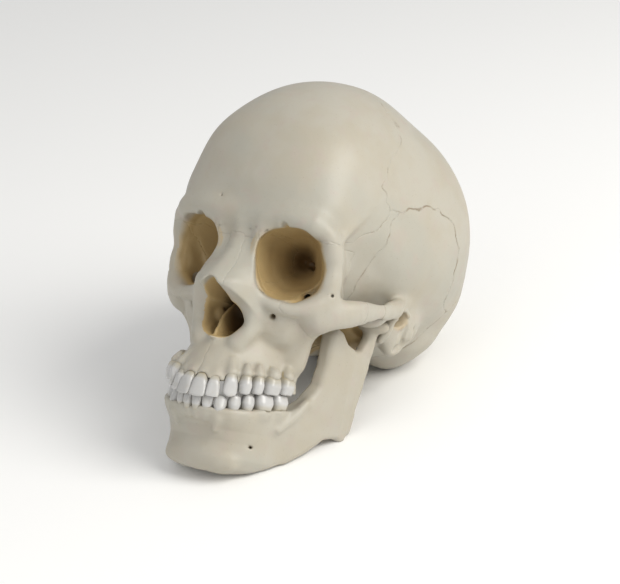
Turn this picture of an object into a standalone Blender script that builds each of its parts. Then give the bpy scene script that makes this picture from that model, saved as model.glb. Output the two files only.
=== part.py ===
"""A human skull, life size and still, lying on the angles of its jaw and the back of its base.

Each form is first a field of distances in millimetres: side (+ is the skull's left), front and
up, measured from the middle between the ear holes. The forms are merged like clay on one half
and mirrored, meshed, thinned out, given their teeth, parted along the sutures and laid at rest.
Blender's frame is in metres, with the skull's left at +X, its face toward -Y and +Z up.
"""
import math

import bmesh
import bpy
import numpy as np
import openvdb
from mathutils import Matrix, Vector

MM = 0.001
CLAY_LOW = (0.0, -108.0, -100.0)
CLAY_HIGH = (76.0, 112.0, 128.0)
CLAY_STEP = 1.4
CRANIUM_TRIANGLES = 7000
JAW_TRIANGLES = 1800
SUTURE_GAP = 0.3
REST_PITCH = 30.2
FLOOR_FLAT = 0.6

CASE_CENTRE = (-4.0, 45.0)
# angle up from the front in degrees, distance of the middle outline from the case's centre
CASE_OUTLINE = [(-90, 57), (-60, 60), (-30, 74), (0, 88), (25, 89.5), (50, 85.5), (75, 78.5), (100, 73), (125, 72),
                (150, 78), (175, 84), (200, 85), (225, 78), (250, 66), (270, 57)]
# front, half width
CASE_WIDTH = [(-96, 67), (-60, 69.5), (-30, 70.5), (0, 65.5), (30, 60), (60, 63), (92, 72)]
CASE_POWER = 2.15
ORBIT_HALF = (16.6, 18.0)
ORBIT_ROLL = -14.0
NOSE_HALF = (11.4, 13.5)
NOSE_RIDGE = [(2.0, 102), (4, 101), (8, 97), (14, 91), (20, 86.5), (26, 84.5), (34, 85.5)]
BITE_FRONT_UP = -53.6
BITE_RISE = 7.0
UPPER_ARCH = {"half_width": 31.0, "depth": 50.0, "centre": 49.5, "top": True}
LOWER_ARCH = {"half_width": 28.6, "depth": 45.8, "centre": 50.0, "top": False}
TOOTH_GAP = 0.35
TOOTH_SUNK = 4.5
CORNER = 0.8
CORNER_REACH = math.cos(math.pi / 8) ** CORNER

# kind, crown width, crown depth, crown height, outward tilt in degrees, way back from the bite
UPPER_TEETH = [
    ("incisor", 8.4, 7.0, 10.8, 27.0, -2.4),
    ("incisor", 6.8, 6.0, 10.0, 24.0, -2.0),
    ("canine", 7.4, 7.8, 10.6, 16.0, -1.2),
    ("premolar", 6.5, 8.6, 8.8, 3.0, 0.2),
    ("premolar", 6.4, 8.6, 8.4, 2.0, 0.3),
    ("molar", 9.4, 10.2, 7.8, -2.0, 0.3),
    ("molar", 8.8, 10.2, 7.4, -4.0, 0.4),
]
LOWER_TEETH = [
    ("incisor", 5.2, 5.8, 9.0, 14.0, -0.6),
    ("incisor", 5.7, 6.0, 9.2, 14.0, -0.4),
    ("canine", 6.6, 7.2, 10.0, 8.0, 0.8),
    ("premolar", 6.6, 7.4, 8.8, 2.0, 0.5),
    ("premolar", 6.8, 7.6, 8.2, -2.0, 0.4),
    ("molar", 10.2, 9.6, 7.6, -6.0, 0.3),
    ("molar", 9.6, 9.4, 7.2, -8.0, 0.4),
]


def smooth_min(first, second, blend):
    """The lesser of two fields, melted together over a blend distance."""
    if blend <= 0:
        return np.minimum(first, second)
    near = np.maximum(blend - np.abs(first - second), 0) / blend
    return np.minimum(first, second) - near ** 3 * blend / 6


def curve(rows, steps):
    """Points of a smooth curve through the rows; extra values such as a radius ride along."""
    p = np.array(rows, float)
    p = np.vstack([2 * p[0] - p[1], p, 2 * p[-1] - p[-2]])
    out = []
    for i in range(1, len(p) - 2):
        a, b, c, d = p[i - 1:i + 3]
        for t in np.arange(steps) / steps:
            square = (2 * a - 5 * b + 4 * c - d) * t ** 2
            cube = (3 * b - a - 3 * c + d) * t ** 3
            out.append(0.5 * (2 * b + (c - a) * t + square + cube))
    out.append(p[-2])
    return np.array(out)


def turned(turn):
    """Rotation matrix of turns in degrees about the side, front and up axes."""
    a, b, c = np.radians(turn)
    about_side = np.array([[1, 0, 0], [0, np.cos(a), -np.sin(a)], [0, np.sin(a), np.cos(a)]])
    about_front = np.array([[np.cos(b), 0, np.sin(b)], [0, 1, 0], [-np.sin(b), 0, np.cos(b)]])
    about_up = np.array([[np.cos(c), -np.sin(c), 0], [np.sin(c), np.cos(c), 0], [0, 0, 1]])
    return about_up @ about_front @ about_side


def outline_distance(outline, f, z):
    """Signed distance from a closed outline, less than zero inside it."""
    o = np.array(outline, float)
    best = (f - o[0, 0]) ** 2 + (z - o[0, 1]) ** 2
    sign = np.ones(np.broadcast(f, z).shape, np.float32)
    for i in range(len(o)):
        e = o[i - 1] - o[i]
        wf, wz = f - o[i, 0], z - o[i, 1]
        t = np.clip((wf * e[0] + wz * e[1]) / (e @ e), 0, 1)
        best = np.minimum(best, (wf - e[0] * t) ** 2 + (wz - e[1] * t) ** 2)
        above, below, left = z >= o[i, 1], z < o[i - 1, 1], e[0] * wz > e[1] * wf
        sign = np.where((above & below & left) | (~above & ~below & ~left), -sign, sign)
    return sign * np.sqrt(best)


class Egg:
    """An ellipsoid of given centre, half sizes and turn, with its own half height under the centre."""

    def __init__(self, centre, half, turn=(0, 0, 0), under=None):
        self.centre, self.half, self.axes = np.array(centre, float), np.array(half, float), turned(turn)
        self.press = 1.0 if under is None else half[2] / under
        reach = np.sqrt((self.axes ** 2 * self.half ** 2).sum(1))
        self.low, self.high = self.centre - reach, self.centre + reach

    def __call__(self, x, f, z):
        x, f, z = x - self.centre[0], f - self.centre[1], z - self.centre[2]
        z = np.where(z < 0, z * self.press, z)
        near = far = 0
        for axis, half in zip(self.axes.T, self.half):
            along = (x * axis[0] + f * axis[1] + z * axis[2]) / half
            near = near + along ** 2
            far = far + (along / half) ** 2
        near = np.sqrt(near)
        return near * (near - 1) / np.sqrt(far + 1e-9)


class Vault:
    """The braincase: an outline about a centre in the middle plane, rounded off to a half width."""

    def __init__(self):
        self.outline, self.width = curve(CASE_OUTLINE, 8), curve(CASE_WIDTH, 8)
        self.low = np.array([0.0, -96, -30])
        self.high = np.array([74.0, 92, 126])

    def __call__(self, x, f, z):
        f_in, z_in = f - CASE_CENTRE[0], z - CASE_CENTRE[1]
        angle = np.degrees(np.arctan2(z_in, f_in))
        angle = np.where(angle < -90, angle + 360, angle)
        reach = np.interp(angle, self.outline[:, 0], self.outline[:, 1])
        wide = np.interp(f, self.width[:, 0], self.width[:, 1])
        share = (np.abs(x / wide) ** CASE_POWER + (np.hypot(f_in, z_in) / reach) ** CASE_POWER) ** (1 / CASE_POWER)
        share = np.maximum(share, 0.02)
        return np.sqrt(x ** 2 + f_in ** 2 + z_in ** 2) * (share - 1) / share


class Rope:
    """A tube through rows of (side, front, up, radius), drawn wider on an axis by its squash."""

    def __init__(self, rows, squash=(1, 1, 1), steps=4):
        self.line = curve(rows, steps)
        self.squash = np.array(squash, float)
        reach = self.line[:, 3].max() * max(1.0, self.squash.max())
        self.low, self.high = self.line[:, :3].min(0) - reach, self.line[:, :3].max(0) + reach

    def __call__(self, x, f, z):
        s = self.squash
        x, f, z = x / s[0], f / s[1], z / s[2]
        best = None
        for a, b in zip(self.line[:-1], self.line[1:]):
            start, way = a[:3] / s, (b[:3] - a[:3]) / s
            t = ((x - start[0]) * way[0] + (f - start[1]) * way[1] + (z - start[2]) * way[2])
            t = np.clip(t / (way @ way + 1e-9), 0, 1)
            gap = np.sqrt((x - start[0] - t * way[0]) ** 2 + (f - start[1] - t * way[1]) ** 2
                          + (z - start[2] - t * way[2]) ** 2) - a[3] - t * (b[3] - a[3])
            best = gap if best is None else np.minimum(best, gap)
        return best * s.min()


class Plate:
    """A plate with an outline in the (front, up) plane, bent so that its middle lies at side(f, z)."""

    def __init__(self, outline, side, half, edge):
        self.outline, self.side, self.half, self.edge = outline, side, half, edge
        o = np.array(outline, float)
        middles = [float(side(f, z)) for f, z in o]
        thick = max(float(half(f, z)) for f, z in o) + 3
        self.low = np.array([min(middles) - thick, *o.min(0)])
        self.high = np.array([max(middles) + thick, *o.max(0)])

    def __call__(self, x, f, z):
        rim = outline_distance(self.outline, f, z) + self.edge
        face = np.abs(x - self.side(f, z)) - (self.half(f, z) - self.edge)
        rim = rim + np.zeros_like(face)
        outer = np.sqrt(np.maximum(rim, 0) ** 2 + np.maximum(face, 0) ** 2)
        return np.minimum(np.maximum(rim, face), 0) + outer - self.edge


class Horseshoe:
    """A level outline rounded in front and straight behind; rows are (up, half width, depth)."""

    def __init__(self, rows, centre, back, power=2.1):
        self.rows, self.centre, self.back, self.power = np.array(rows, float), centre, back, power
        self.low = np.array([0, back, self.rows[:, 0].min()])
        self.high = np.array([self.rows[:, 1].max(), centre + self.rows[:, 2].max(), self.rows[:, 0].max()])

    def __call__(self, x, f, z):
        up, half, depth = self.rows.T
        a, b = np.interp(z, up, half), np.interp(z, up, depth)
        ahead = np.maximum(f - self.centre, 0)
        ring = (np.abs(x / a) ** self.power + (ahead / b) ** self.power) ** (1 / self.power)
        side = (ring - 1) * np.minimum(a, b)
        ends = np.maximum(np.maximum(z - up.max(), up.min() - z), self.back - f)
        return np.maximum(side, ends + np.zeros_like(side))


class Roof:
    """A ridge that runs along (up, front) rows, its faces sloping back and ever steeper to the sides."""

    def __init__(self, rows, back, slope, flat, bend):
        self.rows, self.back, self.slope, self.flat, self.bend = np.array(rows, float), back, slope, flat, bend
        self.low = np.array([0, back, self.rows[0, 0] - 14])
        self.high = np.array([20, self.rows[:, 1].max(), self.rows[-1, 0]])

    def __call__(self, x, f, z):
        ridge = np.interp(z, self.rows[:, 0], self.rows[:, 1])
        side = np.sqrt(x * x + 9.0) - 3.0
        fall = side * self.slope + np.maximum(side - self.flat, 0) ** 2 * self.bend
        steep = self.slope + 2 * self.bend * np.maximum(side - self.flat, 0)
        face = (f - ridge + fall) / np.sqrt(1 + steep ** 2)
        under = (self.rows[0, 0] - (self.rows[0, 1] - f) * 0.6 - z) * 0.85
        ends = np.maximum(under, z - self.rows[-1, 0])
        return np.maximum(np.maximum(face, ends), self.back - f)


class Cave:
    """A socket with a rounded square mouth that narrows along a line; rows are (way in, size)."""

    def __init__(self, mouth, end, half, rows, power=2.0, roll=0.0, out=8.0):
        self.mouth, self.half, self.rows = np.array(mouth, float), half, np.array(rows, float)
        self.power, self.out = power, out
        axis = np.array(end, float) - self.mouth
        self.depth = np.linalg.norm(axis)
        axis /= self.depth
        side = np.cross(axis, [0, 0, 1.0])
        side /= np.linalg.norm(side)
        up = np.cross(side, axis)
        r = math.radians(roll)
        self.frame = (axis, math.cos(r) * side + math.sin(r) * up, math.cos(r) * up - math.sin(r) * side)
        ends = np.array([self.mouth - axis * out, self.mouth + axis * self.depth])
        self.low, self.high = ends.min(0) - max(half) * 1.2, ends.max(0) + max(half) * 1.2

    def __call__(self, x, f, z):
        x, f, z = x - self.mouth[0], f - self.mouth[1], z - self.mouth[2]
        t, a, b = (x * v[0] + f * v[1] + z * v[2] for v in self.frame)
        size = np.interp(t / self.depth, self.rows[:, 0], self.rows[:, 1])
        wide, high = self.half[0] * size, self.half[1] * size
        ring = (np.abs(a / wide) ** self.power + np.abs(b / high) ** self.power) ** (1 / self.power)
        return np.maximum((ring - 1) * np.minimum(wide, high), np.maximum(t - self.depth, -t - self.out))


class Clay:
    """Half of a body as a field of distances, mirrored when it is meshed."""

    def __init__(self, step):
        self.step = step
        self.low = np.array([step / 2, CLAY_LOW[1], CLAY_LOW[2]])
        count = [int((CLAY_HIGH[i] - self.low[i]) / step) + 2 for i in range(3)]
        self.axes = [(self.low[i] + step * np.arange(count[i])).astype(np.float32) for i in range(3)]
        self.field = np.full(count, 40.0, np.float32)

    def _near(self, shape, blend):
        pad = blend + 3 * self.step
        cut = tuple(slice(np.searchsorted(axis, low - pad), np.searchsorted(axis, high + pad))
                    for axis, low, high in zip(self.axes, shape.low, shape.high))
        x, f, z = (axis[c] for axis, c in zip(self.axes, cut))
        return cut, shape(x[:, None, None], f[None, :, None], z[None, None, :])

    def add(self, shape, blend=0.0):
        """Melt a shape onto the body."""
        cut, gap = self._near(shape, blend)
        self.field[cut] = smooth_min(self.field[cut], gap, blend)

    def carve(self, shape, blend=0.0):
        """Take a shape away and round the edge it leaves."""
        cut, gap = self._near(shape, blend)
        self.field[cut] = -smooth_min(-self.field[cut], gap, blend)

    def press(self, place, reach, depth):
        """Press the surface in softly around a place, or draw it out where the depth is under zero."""
        cut = tuple(slice(np.searchsorted(axis, at - 2.5 * reach), np.searchsorted(axis, at + 2.5 * reach))
                    for axis, at in zip(self.axes, place))
        x, f, z = (axis[c] - at for axis, c, at in zip(self.axes, cut, place))
        far = (x[:, None, None] ** 2 + f[None, :, None] ** 2 + z[None, None, :] ** 2) / reach ** 2
        self.field[cut] += depth * np.exp(-far)

    def mesh(self, name):
        """The body's surface as a mesh in metres, closed and facing outward."""
        band = 4 * self.step
        whole = np.clip(np.concatenate([self.field[::-1], self.field]), -band, band)
        grid = openvdb.FloatGrid(band)
        grid.copyFromArray(np.ascontiguousarray(whole, np.float32))
        points, triangles, quads = grid.convertToPolygons(0.0, 0.0)
        points = np.asarray(points, float) * self.step
        points += (-self.step * (len(self.field) - 0.5), self.low[1], self.low[2])
        points *= (MM, -MM, MM)
        faces = [tuple(int(i) for i in row[::-1]) for row in [*quads, *triangles]]
        data = bpy.data.meshes.new(name)
        data.from_pydata(points.tolist(), [], faces)
        return data


def shape_braincase(c):
    """The rounded case, from the forehead back over the vault to the nape."""
    c.add(Vault())
    c.add(Egg((23, -43, -5), (27, 25, 17.5)), 16)
    c.add(Egg((0, -4, 6), (42, 40, 22)), 14)
    c.add(Egg((0, 42, 18), (37, 36, 28)), 14)
    c.add(Egg((27, 62, 45), (20, 15, 16)), 16)
    c.carve(Egg((64, 46, 8), (19, 26, 32), (0, 0, -14)), 14)
    c.press((40, 60, 74), 20, -4.8)
    c.press((37, -8, 108), 23, 2.6)
    c.press((52, -55, 13), 17, -3.9)


def shape_base(c):
    """Ear region, jaw sockets, mastoids, condyles and the great hole."""
    c.add(Rope([(0, 36, -10, 9), (0, 18, -15, 9), (0, 4, -20, 7)], (1.4, 1, 1)), 9)
    c.add(Egg((27, 8, -10), (20, 12, 9), (0, 0, -25)), 9)
    c.add(Egg((46, -9, 0), (12, 15, 14)), 9)
    c.add(Egg((48.5, -4.5, -7), (6.8, 8.0, 11.5), (12, -8, 0)), 5)
    c.add(Rope([(42, 6, -10, 2.4), (41, 7.5, -17, 2.0), (40.5, 8.5, -22, 1.6)]), 3)
    c.add(Egg((0, -16, -6), (38, 34, 17)), 10)
    c.add(Egg((13, -7, -22), (6, 12, 6), (0, 0, -20)), 6)
    c.add(Egg((0, -80, 8), (9, 6, 6)), 10)
    c.press((45, -55, -15), 12, 3.6)
    c.press((24, -46, -22), 11, -2.2)
    c.add(Rope([(58.5, 22, 4.5, 3.8), (56.5, 11, 7, 3.8), (53.5, 1, 11, 3), (50, -12, 14, 2.5)]), 8)
    c.add(Egg((49, 25, -1), (10, 5, 5)), 6)
    c.carve(Egg((46.5, 15.0, -5.0), (11, 6.8, 7.2)), 3)
    c.add(Rope([(53, 7, 0, 2.2), (51, 6.5, -6, 2.4), (48, 6, -11, 2)], (1.2, 1, 1)), 3)
    c.carve(Rope([(66, 0, 2.5, 4.6), (54, 2, 2, 3.8), (42, 5, 0, 3.2)]), 2)
    c.carve(Rope([(45, -20, -17, 3), (41, -11, -15, 3), (38, 0, -15, 2.5)]), 5)
    c.carve(Cave((0, -19, -34), (0, -12, -4), (14, 17), [(0, 1.05), (1, 0.9)]), 4)
    c.add(Plate([(32, -6), (44, -6), (44, -26), (40, -37), (35, -36), (34, -22)],
                lambda f, z: 15 - (z + 8) * 0.12 + (38 - f) * 0.35, lambda f, z: 1.9 + 0 * z, 1.4), 5)
    c.add(Plate([(33, -6), (44, -6), (43, -28), (39, -34), (36, -30)],
                lambda f, z: 9.5 + 0 * z, lambda f, z: 1.8 + 0 * z, 1.4), 5)


def shape_face(c):
    """Brow, cheekbones and arches, nose bridge and upper jaw."""
    c.add(Rope([(0, 80, 37, 6.0), (14, 80.0, 39, 5.0), (27, 79.5, 40, 4.2), (38.5, 76, 38.2, 4.3)]), 13)
    c.add(Rope([(36, 75.5, 38.5, 3.6), (44.8, 70.8, 35, 4.3), (47.2, 66.6, 27.5, 3.9), (47.6, 63.8, 19, 3.8),
                (47.6, 62.8, 9, 3.8), (46.4, 62.3, 1, 4.0)]), 7)
    c.add(Rope([(45.5, 66, 26, 4), (43.5, 58, 23, 4), (39, 48, 18, 5)]), 9)
    c.add(Rope([(46.5, 63, 12, 4), (43.5, 56, 9, 4), (39, 46, 6, 5)]), 9)
    c.add(Egg((43.6, 56.5, 14), (3.8, 10, 15), (0, 0, -22)), 5)
    c.add(Egg((42.5, 62.6, -4.5), (9.5, 5.2, 8.2), (0, 0, -42)), 6)
    c.add(Rope([(46.5, 63, 4, 3.6), (43, 69, -1.8, 3.2), (34, 74.6, -5.6, 3.2), (24, 78.5, -4.6, 3.0),
                (17, 80.5, 0, 2.8), (13.5, 81.5, 9, 2.8)]), 9)
    c.add(Rope([(42, 60, -9, 4.6), (36, 58, -16, 4.4), (31.5, 55.5, -24, 4.6), (28.5, 54, -31, 5)]), 8)
    c.add(Rope([(45.0, 60.5, -4.0, 6.6), (51, 55, -3.2, 7.0), (57, 45, -0.4, 5.8), (60, 35, 1.9, 4.3),
                (60.3, 24, 3.2, 4.2), (58.0, 12, 5.0, 4.6)], (0.6, 1, 1)), 5)
    c.add(Roof(NOSE_RIDGE, 58, 0.62, 6.5, 0.11), 5)
    c.add(Rope([(13, 79.5, 36, 4.2), (11.8, 79.5, 28, 3.9), (11.5, 79, 20, 3.5), (12, 80, 12, 3.8),
                (12.5, 82, 3, 4.0), (15.0, 80.5, -8, 4.2), (16, 79, -18, 4.6), (11, 82, -27, 5)]), 7)
    c.add(Egg((19.5, 63, -10), (16, 13.5, 17)), 8)
    c.add(Egg((0, 56, 10), (13, 24, 24)), 8)
    c.add(Horseshoe([(-47.0, 33.0, 49.6), (-43, 32.2, 47.0), (-37, 30.6, 44.4), (-31, 28.9, 41.2),
                     (-25, 28, 38.2), (-18, 26, 35.5)], 48, 53, 1.95), 4)
    c.add(Egg((25.5, 54, -26), (9, 8, 14)), 7)
    c.add(Rope([(0, 84, -24.0, 3.4), (0, 89, -24.0, 2.4), (0, 92.5, -23.5, 1.4)]), 5)
    c.carve(Egg((29, 82, -18), (8, 6, 8)), 8)
    c.carve(Egg((0, 58, -46), (20.5, 30, 15)), 5)


def open_face(c):
    """Eye sockets, nose with its septum and conchae, and the small holes and clefts."""
    c.carve(Cave((29.4, 79.5, 16.6), (13, 36, 22), ORBIT_HALF,
                 [(-0.2, 1.02), (0.0, 1.0), (0.2, 1.02), (0.5, 0.78), (0.8, 0.42), (1.0, 0.16)],
                 2.8, ORBIT_ROLL), 1.6)
    c.carve(Cave((30.2, 84, 16.2), (29.4, 56, 17), (16.4, 17.0), [(0, 1.0), (0.6, 1.0), (1.0, 0.7)],
                 2.8, ORBIT_ROLL), 1.6)
    c.carve(Cave((33.5, 78, 15.5), (22, 46, 19), (15.2, 15.2),
                 [(-0.2, 1.02), (0.0, 1.0), (0.22, 0.9), (0.5, 0.6), (1.0, 0.3)],
                 2.6, ORBIT_ROLL), 1.6)
    way_in = [(-0.3, 1.0), (0.0, 1.0), (0.4, 0.95), (1.0, 0.7)]
    c.carve(Cave((0, 98, -9.5), (0, 42, -7), (NOSE_HALF[0] * 0.60, NOSE_HALF[1] * 0.95), way_in), 1.2)
    c.carve(Cave((0, 92, -15.2), (0, 40, -14.4), (NOSE_HALF[0], NOSE_HALF[1] * 0.74), way_in, 2.3), 1.2)
    c.carve(Rope([(7, 50, -12, 6), (7.5, 36, -13, 7), (8, 26, -16, 7)], (0.8, 1, 1.3)), 2)
    c.add(Plate([(88, -26), (86, -22), (70, -6), (62, 8), (42, 8), (38, -26)],
                lambda f, z: 0 * z, lambda f, z: 1.3 + 0 * z, 1.2), 2)
    c.add(Rope([(11, 74, -12, 2.0), (7.5, 64, -15, 2.4), (7.5, 52, -15, 2.2)], (1, 1, 1.6)), 2)
    c.carve(Rope([(25.5, 80, -12.5, 1.8), (24, 72, -9, 1.6)]), 2)
    c.carve(Rope([(12.6, 79, 12, 1.6), (13.6, 78, 5, 2.0), (14.6, 77.5, -2, 2.2)]), 1.5)
    c.carve(Rope([(18, 38, 21, 2.6), (24, 40, 20, 3.0), (33, 44, 26, 1.8)]), 1.5)


def shape_jaw(c):
    """The lower jaw: its body, the two rising branches and their heads."""
    def drift(f, z):
        return np.clip(62 - f, 0, 26) * (0.06 + 0.26 * np.clip((-50 - z) / 16, 0, 1))

    outer = [(-92, 24, 30), (-89, 28, 34.5), (-84, 30, 37.6), (-76, 30.5, 37.4), (-70, 30.8, 40.2),
             (-65, 31.4, 44.8), (-61, 31.8, 47.8), (-56, 32.2, 49)]
    inner = [(-96, 16, 25), (-84, 19, 26), (-76, 21, 26.5), (-69, 22, 30), (-62, 22, 36), (-56, 22, 38)]
    body = Horseshoe(outer, 48, 36, 2.5)
    hollow = Horseshoe(inner, 47, 20, 2.3)
    lower_rim = [(100, -99), (76, -94.2), (60, -87), (48, -79), (38, -71.8), (30, -66.5), (20, -66), (0, -66)]

    def solid(x, f, z):
        x = x - drift(f, z)
        fall = np.interp(f, [row[0] for row in lower_rim[::-1]], [row[1] for row in lower_rim[::-1]])
        crest = np.interp(f, [36, 50, 60, 80, 96], [-46, -50.5, -55, -58.5, -60.5])
        shell = -smooth_min(-body(x, f, z), hollow(x, f, z), 3)
        shell = -smooth_min(-shell, -(fall - z) * 0.8, 4)
        return -smooth_min(-shell, -(z - crest) * 0.9, 3)

    solid.low, solid.high = np.array([0.0, 34, -96]), np.array([48.0, 98, -45])
    c.add(solid)
    branch = [(54, -56), (47, -49), (42, -40), (41, -30), (41.5, -20), (41.5, -13), (38.5, -9.5), (35, -11),
              (31, -16), (26, -18), (20.5, -16.5), (17.5, -10), (16.5, -5), (10.8, -5), (9.5, -17), (10, -26),
              (11.8, -36), (14, -46), (16.2, -57), (18.5, -64), (22.5, -67), (27, -65.5), (34, -67), (44, -76), (52, -81)]
    c.add(Plate(branch, lambda f, z: 44.2 + (z + 40) * 0.04 - np.clip(f - 27, 0, 40) * 0.56,
                lambda f, z: 3.2 + 0 * z + np.clip(f - 32, 0, 20) * 0.12, 2.4), 7)
    c.add(Egg((47, 14.2, -4.2), (9.0, 4.2, 4.4), (0, 0, -12)), 3)
    c.add(Rope([(46.5, 13.2, -8, 3.4), (46, 13.4, -18, 3.0)], (1, 0.85, 1)), 3)
    c.add(Egg((0, 82, -86), (13, 4.0, 6)), 7)
    c.add(Egg((15, 79.2, -87.6), (7.6, 4.0, 4.2)), 8)
    c.carve(Rope([(26.0, 76, -75, 1.8), (21.0, 67, -77, 1.5)]), 1)


def tooth_rings(kind, width, depth, height):
    """Rings of a tooth from its sunk end to its biting edge: (way up, half width, half depth, shift)."""
    w, d, h = width / 2, depth / 2, height
    if kind == "incisor":
        return [(-TOOTH_SUNK, 0.50 * w, 0.62 * d, 0), (0, 0.70 * w, 0.86 * d, 0),
                (0.3 * h, 0.88 * w, 0.92 * d, 0.10 * d), (0.65 * h, 1.0 * w, 0.55 * d, 0.15 * d),
                (0.93 * h, 1.0 * w, 0.30 * d, 0.12 * d), (h, 0.86 * w, 0.14 * d, 0.08 * d)]
    if kind == "canine":
        return [(-TOOTH_SUNK, 0.55 * w, 0.7 * d, 0), (0, 0.74 * w, 0.88 * d, 0),
                (0.3 * h, 0.92 * w, 0.96 * d, 0.10 * d), (0.62 * h, 1.0 * w, 0.62 * d, 0.14 * d),
                (0.8 * h, 0.80 * w, 0.42 * d, 0.10 * d), (h, 0.22 * w, 0.16 * d, 0.06 * d)]
    if kind == "premolar":
        return [(-TOOTH_SUNK, 0.55 * w, 0.66 * d, 0), (0, 0.70 * w, 0.82 * d, 0), (0.35 * h, 0.92 * w, 0.98 * d, 0),
                (0.6 * h, 1.0 * w, 0.96 * d, 0), (0.88 * h, 0.90 * w, 0.76 * d, 0), (h, 0.60 * w, 0.52 * d, 0)]
    return [(-TOOTH_SUNK, 0.74 * w, 0.74 * d, 0), (0, 0.82 * w, 0.86 * d, 0), (0.35 * h, 0.95 * w, 0.98 * d, 0),
            (0.6 * h, 1.0 * w, 0.97 * d, 0), (0.9 * h, 0.92 * w, 0.80 * d, 0), (h, 0.74 * w, 0.58 * d, 0)]


def teeth_mesh(name, teeth, arch):
    """Both sides of one row of teeth as closed low solids along the arch, in metres."""
    t = np.linspace(0, math.pi * 0.53, 400)
    path = np.stack([arch["half_width"] * np.sin(t), arch["centre"] + arch["depth"] * np.cos(t)], 1)
    run = np.concatenate([[0], np.cumsum(np.hypot(*np.diff(path, axis=0).T))])
    away = -1.0 if arch["top"] else 1.0

    def at(way):
        return np.array([np.interp(way, run, path[:, 0]), np.interp(way, run, path[:, 1])])

    body = bmesh.new()
    place = TOOTH_GAP / 2
    for kind, width, depth, height, tilt, clear in teeth:
        middle = place + width / 2
        place += width + TOOTH_GAP
        here, along = at(middle), at(middle + 0.5) - at(middle - 0.5)
        along /= np.linalg.norm(along)
        back = np.clip((arch["centre"] + arch["depth"] - here[1]) / arch["depth"], 0, 1)
        tip = np.array([*here, BITE_FRONT_UP + BITE_RISE * back ** 0.8 - away * clear])
        u = np.array([along[0], along[1], 0])
        out = np.array([-along[1], along[0], 0])
        r = math.radians(tilt)
        axis = math.cos(r) * np.array([0, 0, away]) + math.sin(r) * out
        v = out - (out @ axis) * axis
        v /= np.linalg.norm(v)
        for side in (1, -1):
            rings = []
            for up, half_w, half_d, shift in tooth_rings(kind, width, depth, height):
                ring = []
                for k in range(8):
                    a = 2 * math.pi * (k + 0.5) / 8
                    x = math.copysign(abs(math.cos(a)) ** CORNER, math.cos(a)) / CORNER_REACH * half_w
                    y = math.copysign(abs(math.sin(a)) ** CORNER, math.sin(a)) * half_d + shift
                    p = tip + axis * (up - height) + u * x + v * y
                    ring.append(body.verts.new((side * p[0] * MM, -p[1] * MM, p[2] * MM)))
                rings.append(ring)
            for low, high in zip(rings, rings[1:]):
                for k in range(8):
                    body.faces.new((low[k], low[k - 7], high[k - 7], high[k]))
            body.faces.new(rings[0])
            body.faces.new(rings[-1])
    bmesh.ops.recalc_face_normals(body, faces=body.faces)
    data = bpy.data.meshes.new(name)
    body.to_mesh(data)
    body.free()
    return data


def prism_mesh(name, axis, outline, start, stop):
    """A closed prism: an outline of (front, up), (side, up) or (side, front) drawn along the other axis."""
    order = {"side": (2, 0, 1), "front": (0, 2, 1), "up": (0, 1, 2)}[axis]
    body = bmesh.new()
    rings = []
    for end in (start, stop):
        ring = []
        for a, b in outline:
            p = np.array([a, b, end])[list(order)]
            ring.append(body.verts.new((p[0] * MM, -p[1] * MM, p[2] * MM)))
        rings.append(ring)
    for k in range(len(outline)):
        body.faces.new((rings[0][k - 1], rings[0][k], rings[1][k], rings[1][k - 1]))
    body.faces.new(rings[0])
    body.faces.new(rings[1])
    bmesh.ops.recalc_face_normals(body, faces=body.faces)
    data = bpy.data.meshes.new(name)
    body.to_mesh(data)
    body.free()
    return data


def widened(outline, by):
    """The outline moved outward by a distance, corner by corner."""
    o = np.array(outline, float)
    turn = np.sum(o[:, 0] * np.roll(o[:, 1], -1) - np.roll(o[:, 0], -1) * o[:, 1])
    sign = 1.0 if turn > 0 else -1.0
    out = []
    for i in range(len(o)):
        before, after = o[i] - o[i - 1], o[(i + 1) % len(o)] - o[i]
        n1 = sign * np.array([before[1], -before[0]]) / np.linalg.norm(before)
        n2 = sign * np.array([after[1], -after[0]]) / np.linalg.norm(after)
        bisect = n1 + n2
        bisect /= max(np.linalg.norm(bisect), 0.3)
        out.append(tuple(o[i] + bisect * by / max(bisect @ n1, 0.4)))
    return out


def add_object(name, data):
    """Link a mesh to the scene under a name."""
    thing = bpy.data.objects.new(name, data)
    bpy.context.scene.collection.objects.link(thing)
    return thing


def applied(thing):
    """Replace the object's mesh by what its modifiers make of it, and clear them."""
    bpy.context.view_layer.update()
    result = bpy.data.meshes.new_from_object(thing.evaluated_get(bpy.context.evaluated_depsgraph_get()))
    thing.modifiers.clear()
    thing.data = result
    return thing


def thinned(thing, triangles):
    """Collapse the mesh to about the given number of triangles."""
    modifier = thing.modifiers.new("thin", "DECIMATE")
    modifier.ratio = triangles / (len(thing.data.polygons) * 2)
    modifier.use_collapse_triangulate = True
    return applied(thing)


def combined(thing, other, operation):
    """Union, difference or intersection with another mesh, which is then dropped."""
    modifier = thing.modifiers.new("join", "BOOLEAN")
    modifier.operation = operation
    modifier.solver = "MANIFOLD"
    modifier.object = other
    applied(thing)
    bpy.data.objects.remove(other)
    return thing


def enclosed(group):
    """Volume that a closed group of corners holds, less than zero for a hollow."""
    faces = {face for vert in group for face in vert.link_faces}
    total = 0.0
    for face in faces:
        first = face.verts[0].co
        for a, b in zip(face.verts[1:], face.verts[2:]):
            total += first.dot(a.co.cross(b.co))
    return total


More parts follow.
